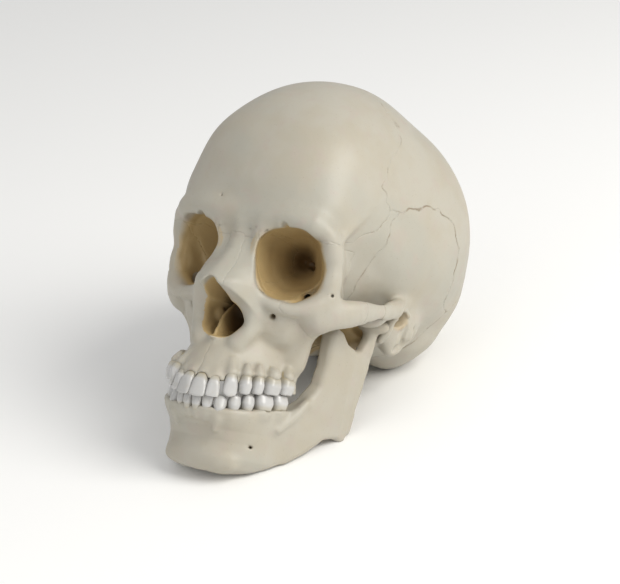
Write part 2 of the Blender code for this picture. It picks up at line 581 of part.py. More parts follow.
def largest_only(thing):
    """Keep only the largest closed surface of the mesh."""
    body = bmesh.new()
    body.from_mesh(thing.data)
    left = set(body.verts)
    groups = []
    while left:
        seed = left.pop()
        group, edge = {seed}, [seed]
        while edge:
            for link in edge.pop().link_edges:
                for vert in link.verts:
                    if vert in left:
                        left.discard(vert)
                        group.add(vert)
                        edge.append(vert)
        groups.append(group)
    groups.sort(key=enclosed)
    for group in groups[:-1]:
        bmesh.ops.delete(body, geom=list(group), context="VERTS")
    bmesh.ops.triangulate(body, faces=body.faces)
    body.to_mesh(thing.data)
    body.free()
    return thing


def copied(thing, name):
    """A second object with its own copy of the mesh."""
    return add_object(name, thing.data.copy())


FACE_FAR = 130.0
# axis, outline and reach of the prisms that part the bones, in the order they are cut away
NASAL = ("front", [(-3.8, 28.5), (3.8, 28.5), (5.2, 18), (6.6, 8), (7.4, -12), (-7.4, -12), (-6.6, 8), (-5.2, 18)],
         74.0, FACE_FAR)
ZYGOMATIC = ("front", [(29, 2), (29.5, -5), (34, -10), (38, -16), (42, -24), (76, -24), (76, 30.5), (42, 30.5),
                       (38, 18)], 45.0, FACE_FAR)
VOMER = ("side", [(36, -23), (81, -23), (81, -1), (36, -1)], -2.4, 2.4)
MAXILLA = ("side", [(45.3, -62), (FACE_FAR, -62), (FACE_FAR, 27), (79, 27), (77, 14), (72, 1.5), (46, 1.5), (44.7, -20)],
           SUTURE_GAP / 2, 50.0)
FRONTAL = ("side", [(13, 130), (FACE_FAR, 130), (FACE_FAR, 30.8), (60, 31.2), (50, 36), (38, 46), (34, 54), (42, 64),
                    (33, 81), (24, 92), (20, 100), (22, 106)], -80.0, 80.0)
ETHMOID = ("side", [(44, -1), (90, -1), (90, 40), (44, 40)], -12.5, 12.5)
PARIETAL = ("side", [(60, 140), (-66, 140), (-110, 100), (-86, 74), (-70, 52), (-52, 28), (-38, 12), (-27, 16), (-26, 30), (-23, 45),
                     (-14, 56), (-3, 62), (8, 62), (16, 58), (27, 54.5), (35.5, 54), (60, 80)], 0.0, 80.0)
TEMPORAL = ("side", [(-38, 13), (-27, 18), (-23, 46), (-14, 57), (-3, 63), (8, 63), (16, 59), (27, 56), (31, 50), (30, 38), (34, 26),
                     (33, 10), (30, -3), (42, -3), (42, -9), (27, -13), (16, -30), (-22, -30), (-28, -12)], 22.0, 80.0)
OCCIPITAL = ("side", [(12, -40), (12, 70), (-110, 70), (-110, -40)], -80.0, 80.0)


def parted(rest, name, prism, mirrored=False):
    """Cut one bone out of what is left of the cranium, leaving the suture gap around it."""
    axis, outline, start, stop = prism
    if mirrored and axis == "side":
        start, stop = -stop, -start
    elif mirrored:
        outline = [(-a, b) for a, b in outline]
    bone = combined(copied(rest, name), add_object("cut", prism_mesh("cut", axis, outline, start, stop)), "INTERSECT")
    wide = prism_mesh("cut", axis, widened(outline, SUTURE_GAP), start - SUTURE_GAP, stop + SUTURE_GAP)
    combined(rest, add_object("cut", wide), "DIFFERENCE")
    return largest_only(bone)


def bone_material():
    """Dry bone, slightly polished."""
    material = bpy.data.materials.new("bone")
    material.use_nodes = True
    shader = material.node_tree.nodes["Principled BSDF"]
    shader.inputs["Base Color"].default_value = (0.63, 0.57, 0.45, 1)
    shader.inputs["Roughness"].default_value = 0.55
    return material


def laid_at_rest(bones):
    """Tip the skull back until jaw angles and nape touch the floor, trim small flats there and centre it."""
    turn = Matrix.Rotation(math.radians(-REST_PITCH), 4, "X")
    for bone in bones:
        bone.data.transform(turn)
    corners = [v.co for bone in bones for v in bone.data.vertices]
    floor = min(v.z for v in corners) + FLOOR_FLAT * MM
    for bone in bones:
        if min(v.co.z for v in bone.data.vertices) < floor:
            below = bpy.data.meshes.new("below")
            body = bmesh.new()
            bmesh.ops.create_cube(body, size=1.0, matrix=Matrix.Translation((0, 0, floor - 0.5)))
            body.to_mesh(below)
            body.free()
            combined(bone, add_object("below", below), "DIFFERENCE")
            largest_only(bone)
    corners = [v.co for bone in bones for v in bone.data.vertices]
    low = Vector([min(v[i] for v in corners) for i in range(3)])
    high = Vector([max(v[i] for v in corners) for i in range(3)])
    shift = Matrix.Translation((-(low.x + high.x) / 2, -(low.y + high.y) / 2, -low.z))
    for bone in bones:
        bone.data.transform(shift)


def main():
    """Build every bone of the skull and lay it at rest."""
    for thing in list(bpy.data.objects):
        bpy.data.objects.remove(thing)
    clay = Clay(CLAY_STEP)
    for step in (shape_braincase, shape_base, shape_face, open_face):
        step(clay)
    rest = largest_only(thinned(add_object("sphenoid", clay.mesh("sphenoid")), CRANIUM_TRIANGLES))
    combined(rest, add_object("teeth", teeth_mesh("teeth", UPPER_TEETH, UPPER_ARCH)), "UNION")
    clay = Clay(CLAY_STEP)
    shape_jaw(clay)
    jaw = largest_only(thinned(add_object("mandible", clay.mesh("mandible")), JAW_TRIANGLES))
    combined(jaw, add_object("teeth", teeth_mesh("teeth", LOWER_TEETH, LOWER_ARCH)), "UNION")
    bones = [largest_only(jaw)]
    bones.append(parted(rest, "nasal", NASAL))
    for side, mirrored in (("left", False), ("right", True)):
        bones.append(parted(rest, f"zygomatic_{side}", ZYGOMATIC, mirrored))
    bones.append(parted(rest, "vomer", VOMER))
    for side, mirrored in (("left", False), ("right", True)):
        bones.append(parted(rest, f"maxilla_{side}", MAXILLA, mirrored))
    bones.append(parted(rest, "frontal", FRONTAL))
    bones.append(parted(rest, "ethmoid", ETHMOID))
    for side, mirrored in (("left", False), ("right", True)):
        bones.append(parted(rest, f"parietal_{side}", PARIETAL, mirrored))
    for side, mirrored in (("left", False), ("right", True)):
        bones.append(parted(rest, f"temporal_{side}", TEMPORAL, mirrored))
    bones.append(parted(rest, "occipital", OCCIPITAL))
    bones.append(largest_only(rest))
    laid_at_rest(bones)
    material = bone_material()
    for bone in bones:
        bone.data.name = bone.name
        bone.data.materials.clear()
        bone.data.materials.append(material)
        print(bone.name, len(bone.data.polygons))


if __name__ == "__main__":
    main()
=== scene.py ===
"""A dry human skull with its lower jaw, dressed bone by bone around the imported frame.

Every form is first a field of distances in millimetres: side (+ is the skull's left), front and
up, measured from the middle between the ear holes with the eye line level. The fields are melted
together as if in clay, parted along wandering sutures, meshed finely and laid at rest.
"""
from __future__ import annotations

import logging
import math
from dataclasses import dataclass, field
from enum import Enum
from typing import Callable, Iterator, Sequence

import bmesh
import bpy
import numpy as np
import openvdb
from mathutils import Matrix, Vector

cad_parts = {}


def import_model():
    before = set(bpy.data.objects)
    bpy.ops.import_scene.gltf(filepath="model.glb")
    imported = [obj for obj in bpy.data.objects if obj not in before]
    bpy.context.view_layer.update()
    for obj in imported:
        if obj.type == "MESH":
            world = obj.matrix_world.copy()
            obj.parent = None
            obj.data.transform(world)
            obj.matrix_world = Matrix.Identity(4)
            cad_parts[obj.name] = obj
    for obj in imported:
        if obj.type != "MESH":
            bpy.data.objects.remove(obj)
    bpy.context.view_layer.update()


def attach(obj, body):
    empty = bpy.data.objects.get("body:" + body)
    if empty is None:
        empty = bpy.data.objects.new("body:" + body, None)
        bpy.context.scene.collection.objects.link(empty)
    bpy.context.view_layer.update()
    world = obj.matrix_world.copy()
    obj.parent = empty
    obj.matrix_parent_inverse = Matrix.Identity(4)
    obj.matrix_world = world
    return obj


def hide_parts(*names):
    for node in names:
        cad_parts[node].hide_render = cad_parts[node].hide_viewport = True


LOG = logging.getLogger("skull")
MM = 0.001
# grid spacings of bones and teeth, and how far from a tooth its field is held level, in mm
CLAY_STEP = 0.75
TOOTH_STEP = 0.45
TOOTH_BAND = 2.0
# pieces made of each stretch of a rope
ROPE_STEPS = 4
# corners of the bones' left half grid, in mm
CLAY_LOW = (0.0, -108.0, -100.0)
CLAY_HIGH = (76.0, 112.0, 128.0)
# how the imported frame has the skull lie: turned up in degrees, then moved in metres
REST_PITCH = 30.2
REST_SHIFT = (0.0, 0.0067392, 0.0458453)
# an end that lies beyond the face
FAR = 130.0
# half the overlap of two bones along a suture, so that no light falls between them
SEAM_HALF = 0.42
# corners below which a separate scrap of a bone goes
CRUMB = 400
# the way into a cave, in mm, where its painted shade is full and where it ends
CAVE_SHADE_FULL = 45
CAVE_SHADE_END = 60

Array = np.ndarray
Shape = Callable[[Array, Array, Array], Array]


def rest_matrix() -> Matrix:
    """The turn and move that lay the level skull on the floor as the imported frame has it."""
    return Matrix.Translation(REST_SHIFT) @ Matrix.Rotation(math.radians(-REST_PITCH), 4, "X")


def smooth_min(first: Array, second: Array, blend: float) -> Array:
    """The lesser of two fields, melted together over a blend distance.

    Args:
        first: a field.
        second: the other.
        blend: the distance in mm over which they melt.

    Returns:
        The melted field.
    """
    if blend <= 0:
        return np.minimum(first, second)
    near = np.maximum(blend - np.abs(first - second), 0) / blend
    return np.minimum(first, second) - near ** 3 * blend / 6


def step_between(low: float, high: float, value: Array) -> Array:
    """A soft step from 0 at low to 1 at high.

    Args:
        low: where it starts.
        high: where it ends; it may be the lesser of the two.
        value: places to read it at.

    Returns:
        The step there, 0 to 1.
    """
    t = np.clip((value - low) / (high - low), 0, 1)
    return t * t * (3 - 2 * t)


def curve(rows: list[tuple[float, ...]], steps: int) -> Array:
    """Points of a smooth curve through the rows; extra values such as a radius ride along.

    Args:
        rows: points to pass through.
        steps: points made for each stretch.

    Returns:
        The points as an array with the same columns.
    """
    p = np.array(rows, float)
    p = np.vstack([2 * p[0] - p[1], p, 2 * p[-1] - p[-2]])
    out = []
    for i in range(1, len(p) - 2):
        a, b, c, d = p[i - 1:i + 3]
        for t in np.arange(steps) / steps:
            square = (2 * a - 5 * b + 4 * c - d) * t ** 2
            cube = (3 * b - a - 3 * c + d) * t ** 3
            out.append(0.5 * (2 * b + (c - a) * t + square + cube))
    out.append(p[-2])
    return np.array(out)


def turned(turn: tuple[float, float, float]) -> Array:
    """Rotation matrix of turns in degrees about the side, front and up axes."""
    a, b, c = np.radians(turn)
    about_side = np.array([[1, 0, 0], [0, np.cos(a), -np.sin(a)], [0, np.sin(a), np.cos(a)]])
    about_front = np.array([[np.cos(b), 0, np.sin(b)], [0, 1, 0], [-np.sin(b), 0, np.cos(b)]])
    about_up = np.array([[np.cos(c), -np.sin(c), 0], [np.sin(c), np.cos(c), 0], [0, 0, 1]])
    return about_up @ about_front @ about_side


def outline_distance(outline: Sequence[tuple[float, float]], a: Array, b: Array) -> Array:
    """Signed distance from a closed outline, less than zero inside it.

    Args:
        outline: its corners in order.
        a: first coordinates of the places.
        b: second coordinates.

    Returns:
        The distance at each place.
    """
    o = np.array(outline, float)
    best = (a - o[0, 0]) ** 2 + (b - o[0, 1]) ** 2
    sign = np.ones(np.broadcast(a, b).shape, np.float32)
    for i in range(len(o)):
        e = o[i - 1] - o[i]
        wa, wb = a - o[i, 0], b - o[i, 1]
        t = np.clip((wa * e[0] + wb * e[1]) / (e @ e), 0, 1)
        best = np.minimum(best, (wa - e[0] * t) ** 2 + (wb - e[1] * t) ** 2)
        above, below, left = b >= o[i, 1], b < o[i - 1, 1], e[0] * wb > e[1] * wa
        sign = np.where((above & below & left) | (~above & ~below & ~left), -sign, sign)
    return sign * np.sqrt(best)


class Grain:
    """Smooth random swells of one wavelength, the same on every run."""

    def __init__(self, wave: float, seed: int) -> None:
        """Args: wave: distance between swells in mm. seed: picks the pattern."""
        self.wave = wave
        self.heights = np.random.default_rng(seed).uniform(-1, 1, (64, 64, 64)).astype(np.float32)

    def _weights(self, axis: Array) -> Array:
        """How much each lattice plane adds at each place on an axis, by a cubic spline."""
        at = axis / self.wave + 1024.0
        cell = np.floor(at).astype(int)
        t = at - cell
        parts = ((1 - t) ** 3, 3 * t ** 3 - 6 * t ** 2 + 4, -3 * t ** 3 + 3 * t ** 2 + 3 * t + 1, t ** 3)
        out = np.zeros((len(axis), 64), np.float32)
        for k, part in enumerate(parts):
            np.add.at(out, (np.arange(len(axis)), (cell + k) % 64), part / 6)
        return out

    def on(self, x: Array, f: Array, z: Array) -> Array:
        """The swells, about -1 to 1, on the whole grid that three axes span.

        Args:
            x: the grid's axis to the side.
            f: its axis to the front.
            z: its axis up.

        Returns:
            Their height at each node.
        """
        rows = np.einsum("ai,ijk->ajk", self._weights(x), self.heights)
        rows = np.einsum("bj,ajk->abk", self._weights(f), rows)
        return 2.2 * np.einsum("ck,abk->abc", self._weights(z), rows, optimize=True)

    def at(self, a: Array, b: Array) -> Array:
        """The swells at any places of a plane.

        Args:
            a: first coordinates of the places.
            b: second coordinates.

        Returns:
            Their height there, -1 to 1.
        """
        a, b = a / self.wave + 1024.0, b / self.wave + 1024.0
        i, j = np.floor(a).astype(int), np.floor(b).astype(int)
        s, t = a - i, b - j
        s, t = s * s * (3 - 2 * s), t * t * (3 - 2 * t)
        i, j = i % 64, j % 64
        h, i2, j2 = self.heights[0], (i + 1) % 64, (j + 1) % 64
        low = h[i, j] * (1 - s) + h[i2, j] * s
        high = h[i, j2] * (1 - s) + h[i2, j2] * s
        return low * (1 - t) + high * t


class Egg:
    """An ellipsoid of given centre, half sizes and turn."""

    def __init__(self, centre: tuple, half: tuple, turn: tuple = (0, 0, 0)) -> None:
        """Args: centre, half: in mm. turn: in degrees."""
        self.centre, self.half, self.axes = np.array(centre, float), np.array(half, float), turned(turn)
        reach = np.sqrt((self.axes ** 2 * self.half ** 2).sum(1))
        self.low, self.high = self.centre - reach, self.centre + reach

    def __call__(self, x: Array, f: Array, z: Array) -> Array:
        """The field at places."""
        x, f, z = x - self.centre[0], f - self.centre[1], z - self.centre[2]
        near = far = 0
        for axis, half in zip(self.axes.T, self.half):
            along = (x * axis[0] + f * axis[1] + z * axis[2]) / half
            near = near + along ** 2
            far = far + (along / half) ** 2
        near = np.sqrt(near)
        return near * (near - 1) / np.sqrt(far + 1e-9)


class Rope:
    """A tube through rows of (side, front, up, radius), drawn wider on an axis by its squash."""

    def __init__(self, rows: list[tuple], squash: tuple = (1, 1, 1)) -> None:
        """Args: rows: the middle line and its radius. squash: widening on each axis."""
        self.line = curve(rows, ROPE_STEPS)
        self.squash = np.array(squash, float)
        reach = self.line[:, 3].max() * max(1.0, self.squash.max())
        self.low, self.high = self.line[:, :3].min(0) - reach, self.line[:, :3].max(0) + reach

    def __call__(self, x: Array, f: Array, z: Array) -> Array:
        """The field at places."""
        s = self.squash
        x, f, z = x / s[0], f / s[1], z / s[2]
        best = None
        for a, b in zip(self.line[:-1], self.line[1:]):
            start, way = a[:3] / s, (b[:3] - a[:3]) / s
            t = (x - start[0]) * way[0] + (f - start[1]) * way[1] + (z - start[2]) * way[2]
            t = np.clip(t / (way @ way + 1e-9), 0, 1)
            gap = np.sqrt((x - start[0] - t * way[0]) ** 2 + (f - start[1] - t * way[1]) ** 2
                          + (z - start[2] - t * way[2]) ** 2) - a[3] - t * (b[3] - a[3])
            best = gap if best is None else np.minimum(best, gap)
        return best * s.min()


class Plate:
    """A plate with an outline in the (front, up) plane, bent so that its middle lies at side(f, z)."""

    def __init__(self, outline: list[tuple], side: Callable, half: Callable, edge: float) -> None:
        """Args: outline: corners. side: middle of the plate. half: half its thickness. edge: rounding."""
        self.outline, self.side, self.half, self.edge = outline, side, half, edge
        o = np.array(outline, float)
        middles = [float(side(f, z)) for f, z in o]
        thick = max(float(half(f, z)) for f, z in o) + 3
        self.low = np.array([min(middles) - thick, *o.min(0)])
        self.high = np.array([max(middles) + thick, *o.max(0)])

    def __call__(self, x: Array, f: Array, z: Array) -> Array:
        """The field at places."""
        rim = outline_distance(self.outline, f, z) + self.edge
        face = np.abs(x - self.side(f, z)) - (self.half(f, z) - self.edge)
        rim = rim + np.zeros_like(face)
        outer = np.sqrt(np.maximum(rim, 0) ** 2 + np.maximum(face, 0) ** 2)
        return np.minimum(np.maximum(rim, face), 0) + outer - self.edge


def even(size: float) -> Callable:
    """A plate's measure that is the same all over it."""
    return lambda f, z: size + 0 * z


class Horseshoe:
    """A level outline rounded in front and straight behind; rows are (up, half width, depth)."""

    def __init__(self, rows: list[tuple], centre: float, back: float, power: float) -> None:
        """Set the outline.

        Args:
            rows: sizes by height.
            centre: where the round part starts.
            back: the rear end.
            power: how square the round part is.
        """
        self.rows, self.centre, self.back, self.power = np.array(rows, float), centre, back, power
        self.low = np.array([0, back, self.rows[:, 0].min()])
        self.high = np.array([self.rows[:, 1].max(), centre + self.rows[:, 2].max(), self.rows[:, 0].max()])

    def __call__(self, x: Array, f: Array, z: Array) -> Array:
        """The field at places."""
        up, half, depth = self.rows.T
        a, b = np.interp(z, up, half), np.interp(z, up, depth)
        ahead = np.maximum(f - self.centre, 0)
        ring = (np.abs(x / a) ** self.power + (ahead / b) ** self.power) ** (1 / self.power)
        side = (ring - 1) * np.minimum(a, b)
        ends = np.maximum(np.maximum(z - up.max(), up.min() - z), self.back - f)
        return np.maximum(side, ends + np.zeros_like(side))


class Roof:
    """A ridge that runs along (up, front) rows, its faces sloping back and ever steeper to the sides."""

    def __init__(self, rows: list[tuple], back: float, slope: float, flat: float, bend: float) -> None:
        """Set the ridge and its faces.

        Args:
            rows: the ridge.
            back: the rear end.
            slope: how fast the faces fall away beside the ridge.
            flat: how far out they start to bend down, in mm.
            bend: how fast they steepen there.
        """
        self.rows, self.back = np.array(rows, float), back
        self.slope, self.flat, self.bend = slope, flat, bend
        self.low = np.array([0, back, self.rows[0, 0] - 14])
        self.high = np.array([20, self.rows[:, 1].max(), self.rows[-1, 0]])

    def __call__(self, x: Array, f: Array, z: Array) -> Array:
        """The field at places."""
        ridge = np.interp(z, self.rows[:, 0], self.rows[:, 1])
        side = np.sqrt(x * x + 9.0) - 3.0
        fall = side * self.slope + np.maximum(side - self.flat, 0) ** 2 * self.bend
        steep = self.slope + 2 * self.bend * np.maximum(side - self.flat, 0)
        face = (f - ridge + fall) / np.sqrt(1 + steep ** 2)
        under = (self.rows[0, 0] - (self.rows[0, 1] - f) * 0.6 - z) * 0.85
        ends = np.maximum(under, z - self.rows[-1, 0])
        return np.maximum(np.maximum(face, ends), self.back - f)


class Cave:
    """A socket with a rounded square mouth that narrows along a line; rows are (way in, size)."""

    before_mouth = 8.0

    def __init__(self, mouth: tuple, end: tuple, half: tuple, rows: list[tuple], power: float = 2.0,
                 roll: float = 0.0) -> None:
        """Set the cave's line and taper.

        Args:
            mouth: the middle of its mouth.
            end: the end of its line.
            half: half its width and height at the mouth.
            rows: its taper, as (share of the way in, share of the mouth).
            power: how square it is across.
            roll: its turn about its own line, in degrees.
        """
        self.mouth, self.half, self.rows = np.array(mouth, float), half, np.array(rows, float)
        self.power = power
        axis = np.array(end, float) - self.mouth
        self.depth = np.linalg.norm(axis)
        axis /= self.depth
        side = np.cross(axis, [0, 0, 1.0])
        side /= np.linalg.norm(side)
        up = np.cross(side, axis)
        r = math.radians(roll)
        self.frame = (axis, math.cos(r) * side + math.sin(r) * up, math.cos(r) * up - math.sin(r) * side)
        ends = np.array([self.mouth - axis * self.before_mouth, self.mouth + axis * self.depth])
        self.low, self.high = ends.min(0) - max(half) * 1.2, ends.max(0) + max(half) * 1.2

    def way_in(self, x: Array, f: Array, z: Array) -> tuple[Array, Array]:
        """How far in places are, in mm, and their distance outside the wall.

        Args:
            x: places to the side.
            f: places to the front.
            z: places up.

        Returns:
            The way in, and the distance outside the wall.
        """
        x, f, z = x - self.mouth[0], f - self.mouth[1], z - self.mouth[2]
        t, a, b = (x * v[0] + f * v[1] + z * v[2] for v in self.frame)
        size = np.interp(t / self.depth, self.rows[:, 0], self.rows[:, 1])
        wide, high = self.half[0] * size, self.half[1] * size
        ring = (np.abs(a / wide) ** self.power + np.abs(b / high) ** self.power) ** (1 / self.power)
        return t, (ring - 1) * np.minimum(wide, high)

    def __call__(self, x: Array, f: Array, z: Array) -> Array:
        """The field at places."""
        t, wall = self.way_in(x, f, z)
        return np.maximum(wall, np.maximum(t - self.depth, -t - self.before_mouth))


class Clay:
    """A body as a field of distances on a grid, one half first and then the whole."""

    def __init__(self, step: float) -> None:
        """Args: step: grid spacing in mm."""
        self.step = step
        low = np.array([step / 2, CLAY_LOW[1], CLAY_LOW[2]])
        count = [int((CLAY_HIGH[i] - low[i]) / step) + 2 for i in range(3)]
        self.axes = [(low[i] + step * np.arange(count[i])).astype(np.float32) for i in range(3)]
        self.field = np.full(count, 40.0, np.float32)

    def _near(self, shape: Shape, blend: float) -> tuple:
        """The part of the grid near a shape, and the shape's field there.

        Args:
            shape: the shape.
            blend: the distance that it will melt over.

        Returns:
            The grid's slices, and the field in them.
        """
        pad = blend + 3 * self.step
        cut = tuple(slice(np.searchsorted(axis, low - pad), np.searchsorted(axis, high + pad))
                    for axis, low, high in zip(self.axes, shape.low, shape.high))
        x, f, z = (axis[c] for axis, c in zip(self.axes, cut))
        return cut, shape(x[:, None, None], f[None, :, None], z[None, None, :])

    def add(self, shape: Shape, blend: float = 0.0) -> None:
        """Melt a shape onto the body."""
        cut, gap = self._near(shape, blend)
        self.field[cut] = smooth_min(self.field[cut], gap, blend)

    def carve(self, shape: Shape, blend: float = 0.0) -> None:
        """Take a shape away and round the edge it leaves."""
        cut, gap = self._near(shape, blend)
        self.field[cut] = -smooth_min(-self.field[cut], gap, blend)

    def press(self, place: tuple[float, float, float], reach: float, depth: float) -> None:
        """Press the surface in softly around a place, or draw it out where the depth is under zero.

        Args:
            place: the middle.
            reach: how far it spreads, in mm.
            depth: how deep it goes, in mm.
        """
        cut = tuple(slice(np.searchsorted(axis, at - 2.5 * reach), np.searchsorted(axis, at + 2.5 * reach))
                    for axis, at in zip(self.axes, place))
        x, f, z = (axis[c] - at for axis, c, at in zip(self.axes, cut, place))
        far = (x[:, None, None] ** 2 + f[None, :, None] ** 2 + z[None, None, :] ** 2) / reach ** 2
        self.field[cut] += depth * np.exp(-far)

    def mirror(self) -> None:
        """Make the body whole by mirroring the left half."""
        self.field = np.concatenate([self.field[::-1], self.field])
        self.axes[0] = np.concatenate([-self.axes[0][::-1], self.axes[0]])

    def swell(self, grain: Grain, height: float, where: Array | float = 1.0) -> None:
        """Raise and lower the surface by a grain, by up to a height in mm."""
        self.field += (grain.on(*self.axes) * height * where).astype(np.float32)

    def flatten_low(self) -> None:
        """Cut away what would reach under the floor once the skull is laid at rest."""
        pitch = math.radians(REST_PITCH)
        height = self.axes[2][None, :] * math.cos(pitch) + self.axes[1][:, None] * math.sin(pitch)
        height = height + REST_SHIFT[2] / MM
        self.field = np.maximum(self.field, -height[None].astype(np.float32))

    def hollowness(self) -> tuple[Array, list[Array]]:
        """How shut in each place is: about 0.5 on a plain surface, more in a hollow, less on a ridge.

        Returns:
            The values on every second node, and their axes.
        """
        solid = (self.field[::2, ::2, ::2] < 0).astype(np.float32)
        for _ in range(3):
            for k in range(3):
                run = np.cumsum(np.concatenate([np.repeat(solid.take([0], k), 3, k), solid,
                                                np.repeat(solid.take([-1], k), 3, k)], k), k)
                reach = np.arange(solid.shape[k])
                solid = (run.take(reach + 5, k) - run.take(reach, k)) / 5
        return solid, [axis[::2] for axis in self.axes]


def sampled(grid: Array, axes: list[Array], points: Array) -> Array:
    """Values of a grid at points, by straight blending between its nodes.

    Args:
        grid: the values.
        axes: the places of its nodes.
        points: places to read it at.

    Returns:
        A value for each point.
    """
    cells, shares = [], []
    for axis, place in zip(axes, points.T):
        at = np.clip((place - axis[0]) / (axis[1] - axis[0]), 0, len(axis) - 1.001)
        cells.append(at.astype(int))
        shares.append(at - at.astype(int))
    total = np.zeros(len(points))
    for corner in range(8):
        bits = [(corner >> k) & 1 for k in range(3)]
        weight = np.ones(len(points))
        for bit, share in zip(bits, shares):
            weight *= share if bit else 1 - share
        total += weight * grid[tuple(cell + bit for cell, bit in zip(cells, bits))]
    return total


def surface_of(grid: Array, low: Array, step: float, band: float) -> tuple[Array, list[Array]]:
    """The closed surface where a field is zero.

    Args:
        grid: the field.
        low: place of its first node, in mm.
        step: its spacing in mm.
        band: distance from the surface beyond which the field is held level.

    Returns:
        The corners in the level skull's millimetres, and the faces in the grid's own winding.
    """
    volume = openvdb.FloatGrid(band)
    volume.copyFromArray(np.ascontiguousarray(np.clip(grid, -band, band), np.float32))
    points, triangles, quads = volume.convertToPolygons(0.0, 0.0)
    return np.asarray(points, float) * step + low, [*quads, *triangles]


def laid_at_rest(name: str, points: Array, faces: list[list[int]]) -> bpy.types.Object:
    """A smooth object from the level skull's corners, laid at rest in the scene.

    Args:
        name: object name.
        points: corners in the level skull's millimetres.
        faces: the corners of each face.

    Returns:
        The object.
    """
    data = bpy.data.meshes.new(name)
    data.from_pydata((points * (MM, -MM, MM)).tolist(), [], faces)
    data.transform(rest_matrix())
    data.shade_smooth()
    thing = bpy.data.objects.new(name, data)
    bpy.context.scene.collection.objects.link(thing)
    return thing


def bone_piece(name: str, grid: Array, low: Array, step: float) -> tuple[bpy.types.Object, Array]:
    """One bone's closed mesh, without crumbs.

    Args:
        name: the bone.
        grid: its field.
        low: place of the field's first node, in mm.
        step: the field's spacing in mm.

    Returns:
        The object, and its corners in the level skull's millimetres.
    """
    points, rows = surface_of(grid, low, step, 4 * step)
    piece = laid_at_rest(f"bone_{name}", points, [row[::-1].tolist() for row in rows])
    drop_crumbs(piece)
    points = np.empty(len(piece.data.vertices) * 3, np.float32)
    piece.data.vertices.foreach_get("co", points)
    back = np.array(rest_matrix().inverted())
    points = points.reshape(-1, 3) @ back[:3, :3].T + back[:3, 3]
    LOG.info("%s: %d faces", name, len(piece.data.polygons))
    return piece, points * (1 / MM, -1 / MM, 1 / MM)


def give_layers(thing: bpy.types.Object, **layers: Array) -> None:
    """Store numbers at the corners of a mesh, for its material to read.

    Args:
        thing: the object.
        layers: each layer's name and its number for each corner.
    """
    for name, values in layers.items():
        layer = thing.data.attributes.new(name, "FLOAT", "POINT")
        layer.data.foreach_set("value", np.asarray(values, np.float32))


@dataclass
class Braincase:
    """The rounded case, from the forehead back over the vault to the nape."""

    centre: tuple[float, float] = (-4.0, 45.0)
    # angle up from the front in degrees, distance of the middle outline from the centre
    outline: list[tuple[float, float]] = field(default_factory=lambda: [
        (-90, 57), (-60, 60), (-30, 74), (0, 88), (25, 89.5), (50, 85.5), (75, 78.5), (100, 73),
        (125, 72), (150, 78), (175, 84), (200, 85), (225, 78), (250, 66), (270, 57)])
    # front, half width
    width: list[tuple[float, float]] = field(default_factory=lambda: [
        (-96, 67), (-60, 69.5), (-30, 70.5), (0, 65.5), (30, 60), (60, 63), (92, 72)])
    power: float = 2.15
    low: Array = field(default_factory=lambda: np.array([0.0, -96, -30]))
    high: Array = field(default_factory=lambda: np.array([74.0, 92, 126]))

    def __call__(self, x: Array, f: Array, z: Array) -> Array:
        """The bare case's field at places."""
        ring, width = curve(self.outline, 8), curve(self.width, 8)
        f_in, z_in = f - self.centre[0], z - self.centre[1]
        angle = np.degrees(np.arctan2(z_in, f_in))
        angle = np.where(angle < -90, angle + 360, angle)
        reach = np.interp(angle, ring[:, 0], ring[:, 1])
        wide = np.interp(f, width[:, 0], width[:, 1])
        across = np.abs(x / wide) ** self.power
        share = (across + (np.hypot(f_in, z_in) / reach) ** self.power) ** (1 / self.power)
        share = np.maximum(share, 0.02)
        return np.sqrt(x ** 2 + f_in ** 2 + z_in ** 2) * (share - 1) / share

    def shape(self, c: Clay) -> None:
        """Melt the case together."""
        c.add(self)
        c.add(Egg((23, -43, -5), (27, 25, 17.5)), 16)
        c.add(Egg((0, -4, 6), (42, 40, 22)), 14)
        c.add(Egg((0, 42, 18), (37, 36, 28)), 14)
        c.add(Egg((27, 62, 45), (20, 15, 16)), 16)
        c.carve(Egg((64, 46, 8), (19, 26, 32), (0, 0, -14)), 14)
        c.press((40, 60, 74), 26, -4.2)
        c.press((37, -8, 108), 23, 2.6)
        c.press((52, -55, 13), 17, -3.9)

    def lines(self, c: Clay) -> None:
        """The low curved ridge above the temple, and the two ridges that cross the nape."""
        c.add(Rope([(47.5, 63.5, 33, 1.0), (50.4, 54, 46, 0.6), (52.0, 38, 62, 0.2)]), 9)
        for height, fall, raised in ((5.0, 0.13, 0.5), (-12.0, 0.08, 0.3)):
            for x in np.arange(8.0, 43.0, 4.0):
                z = height - fall * x
                column = c.field[np.searchsorted(c.axes[0], x), :, np.searchsorted(c.axes[2], z)]
                c.press((x, c.axes[1][(column < 0).argmax()], z), 4.5, -raised)


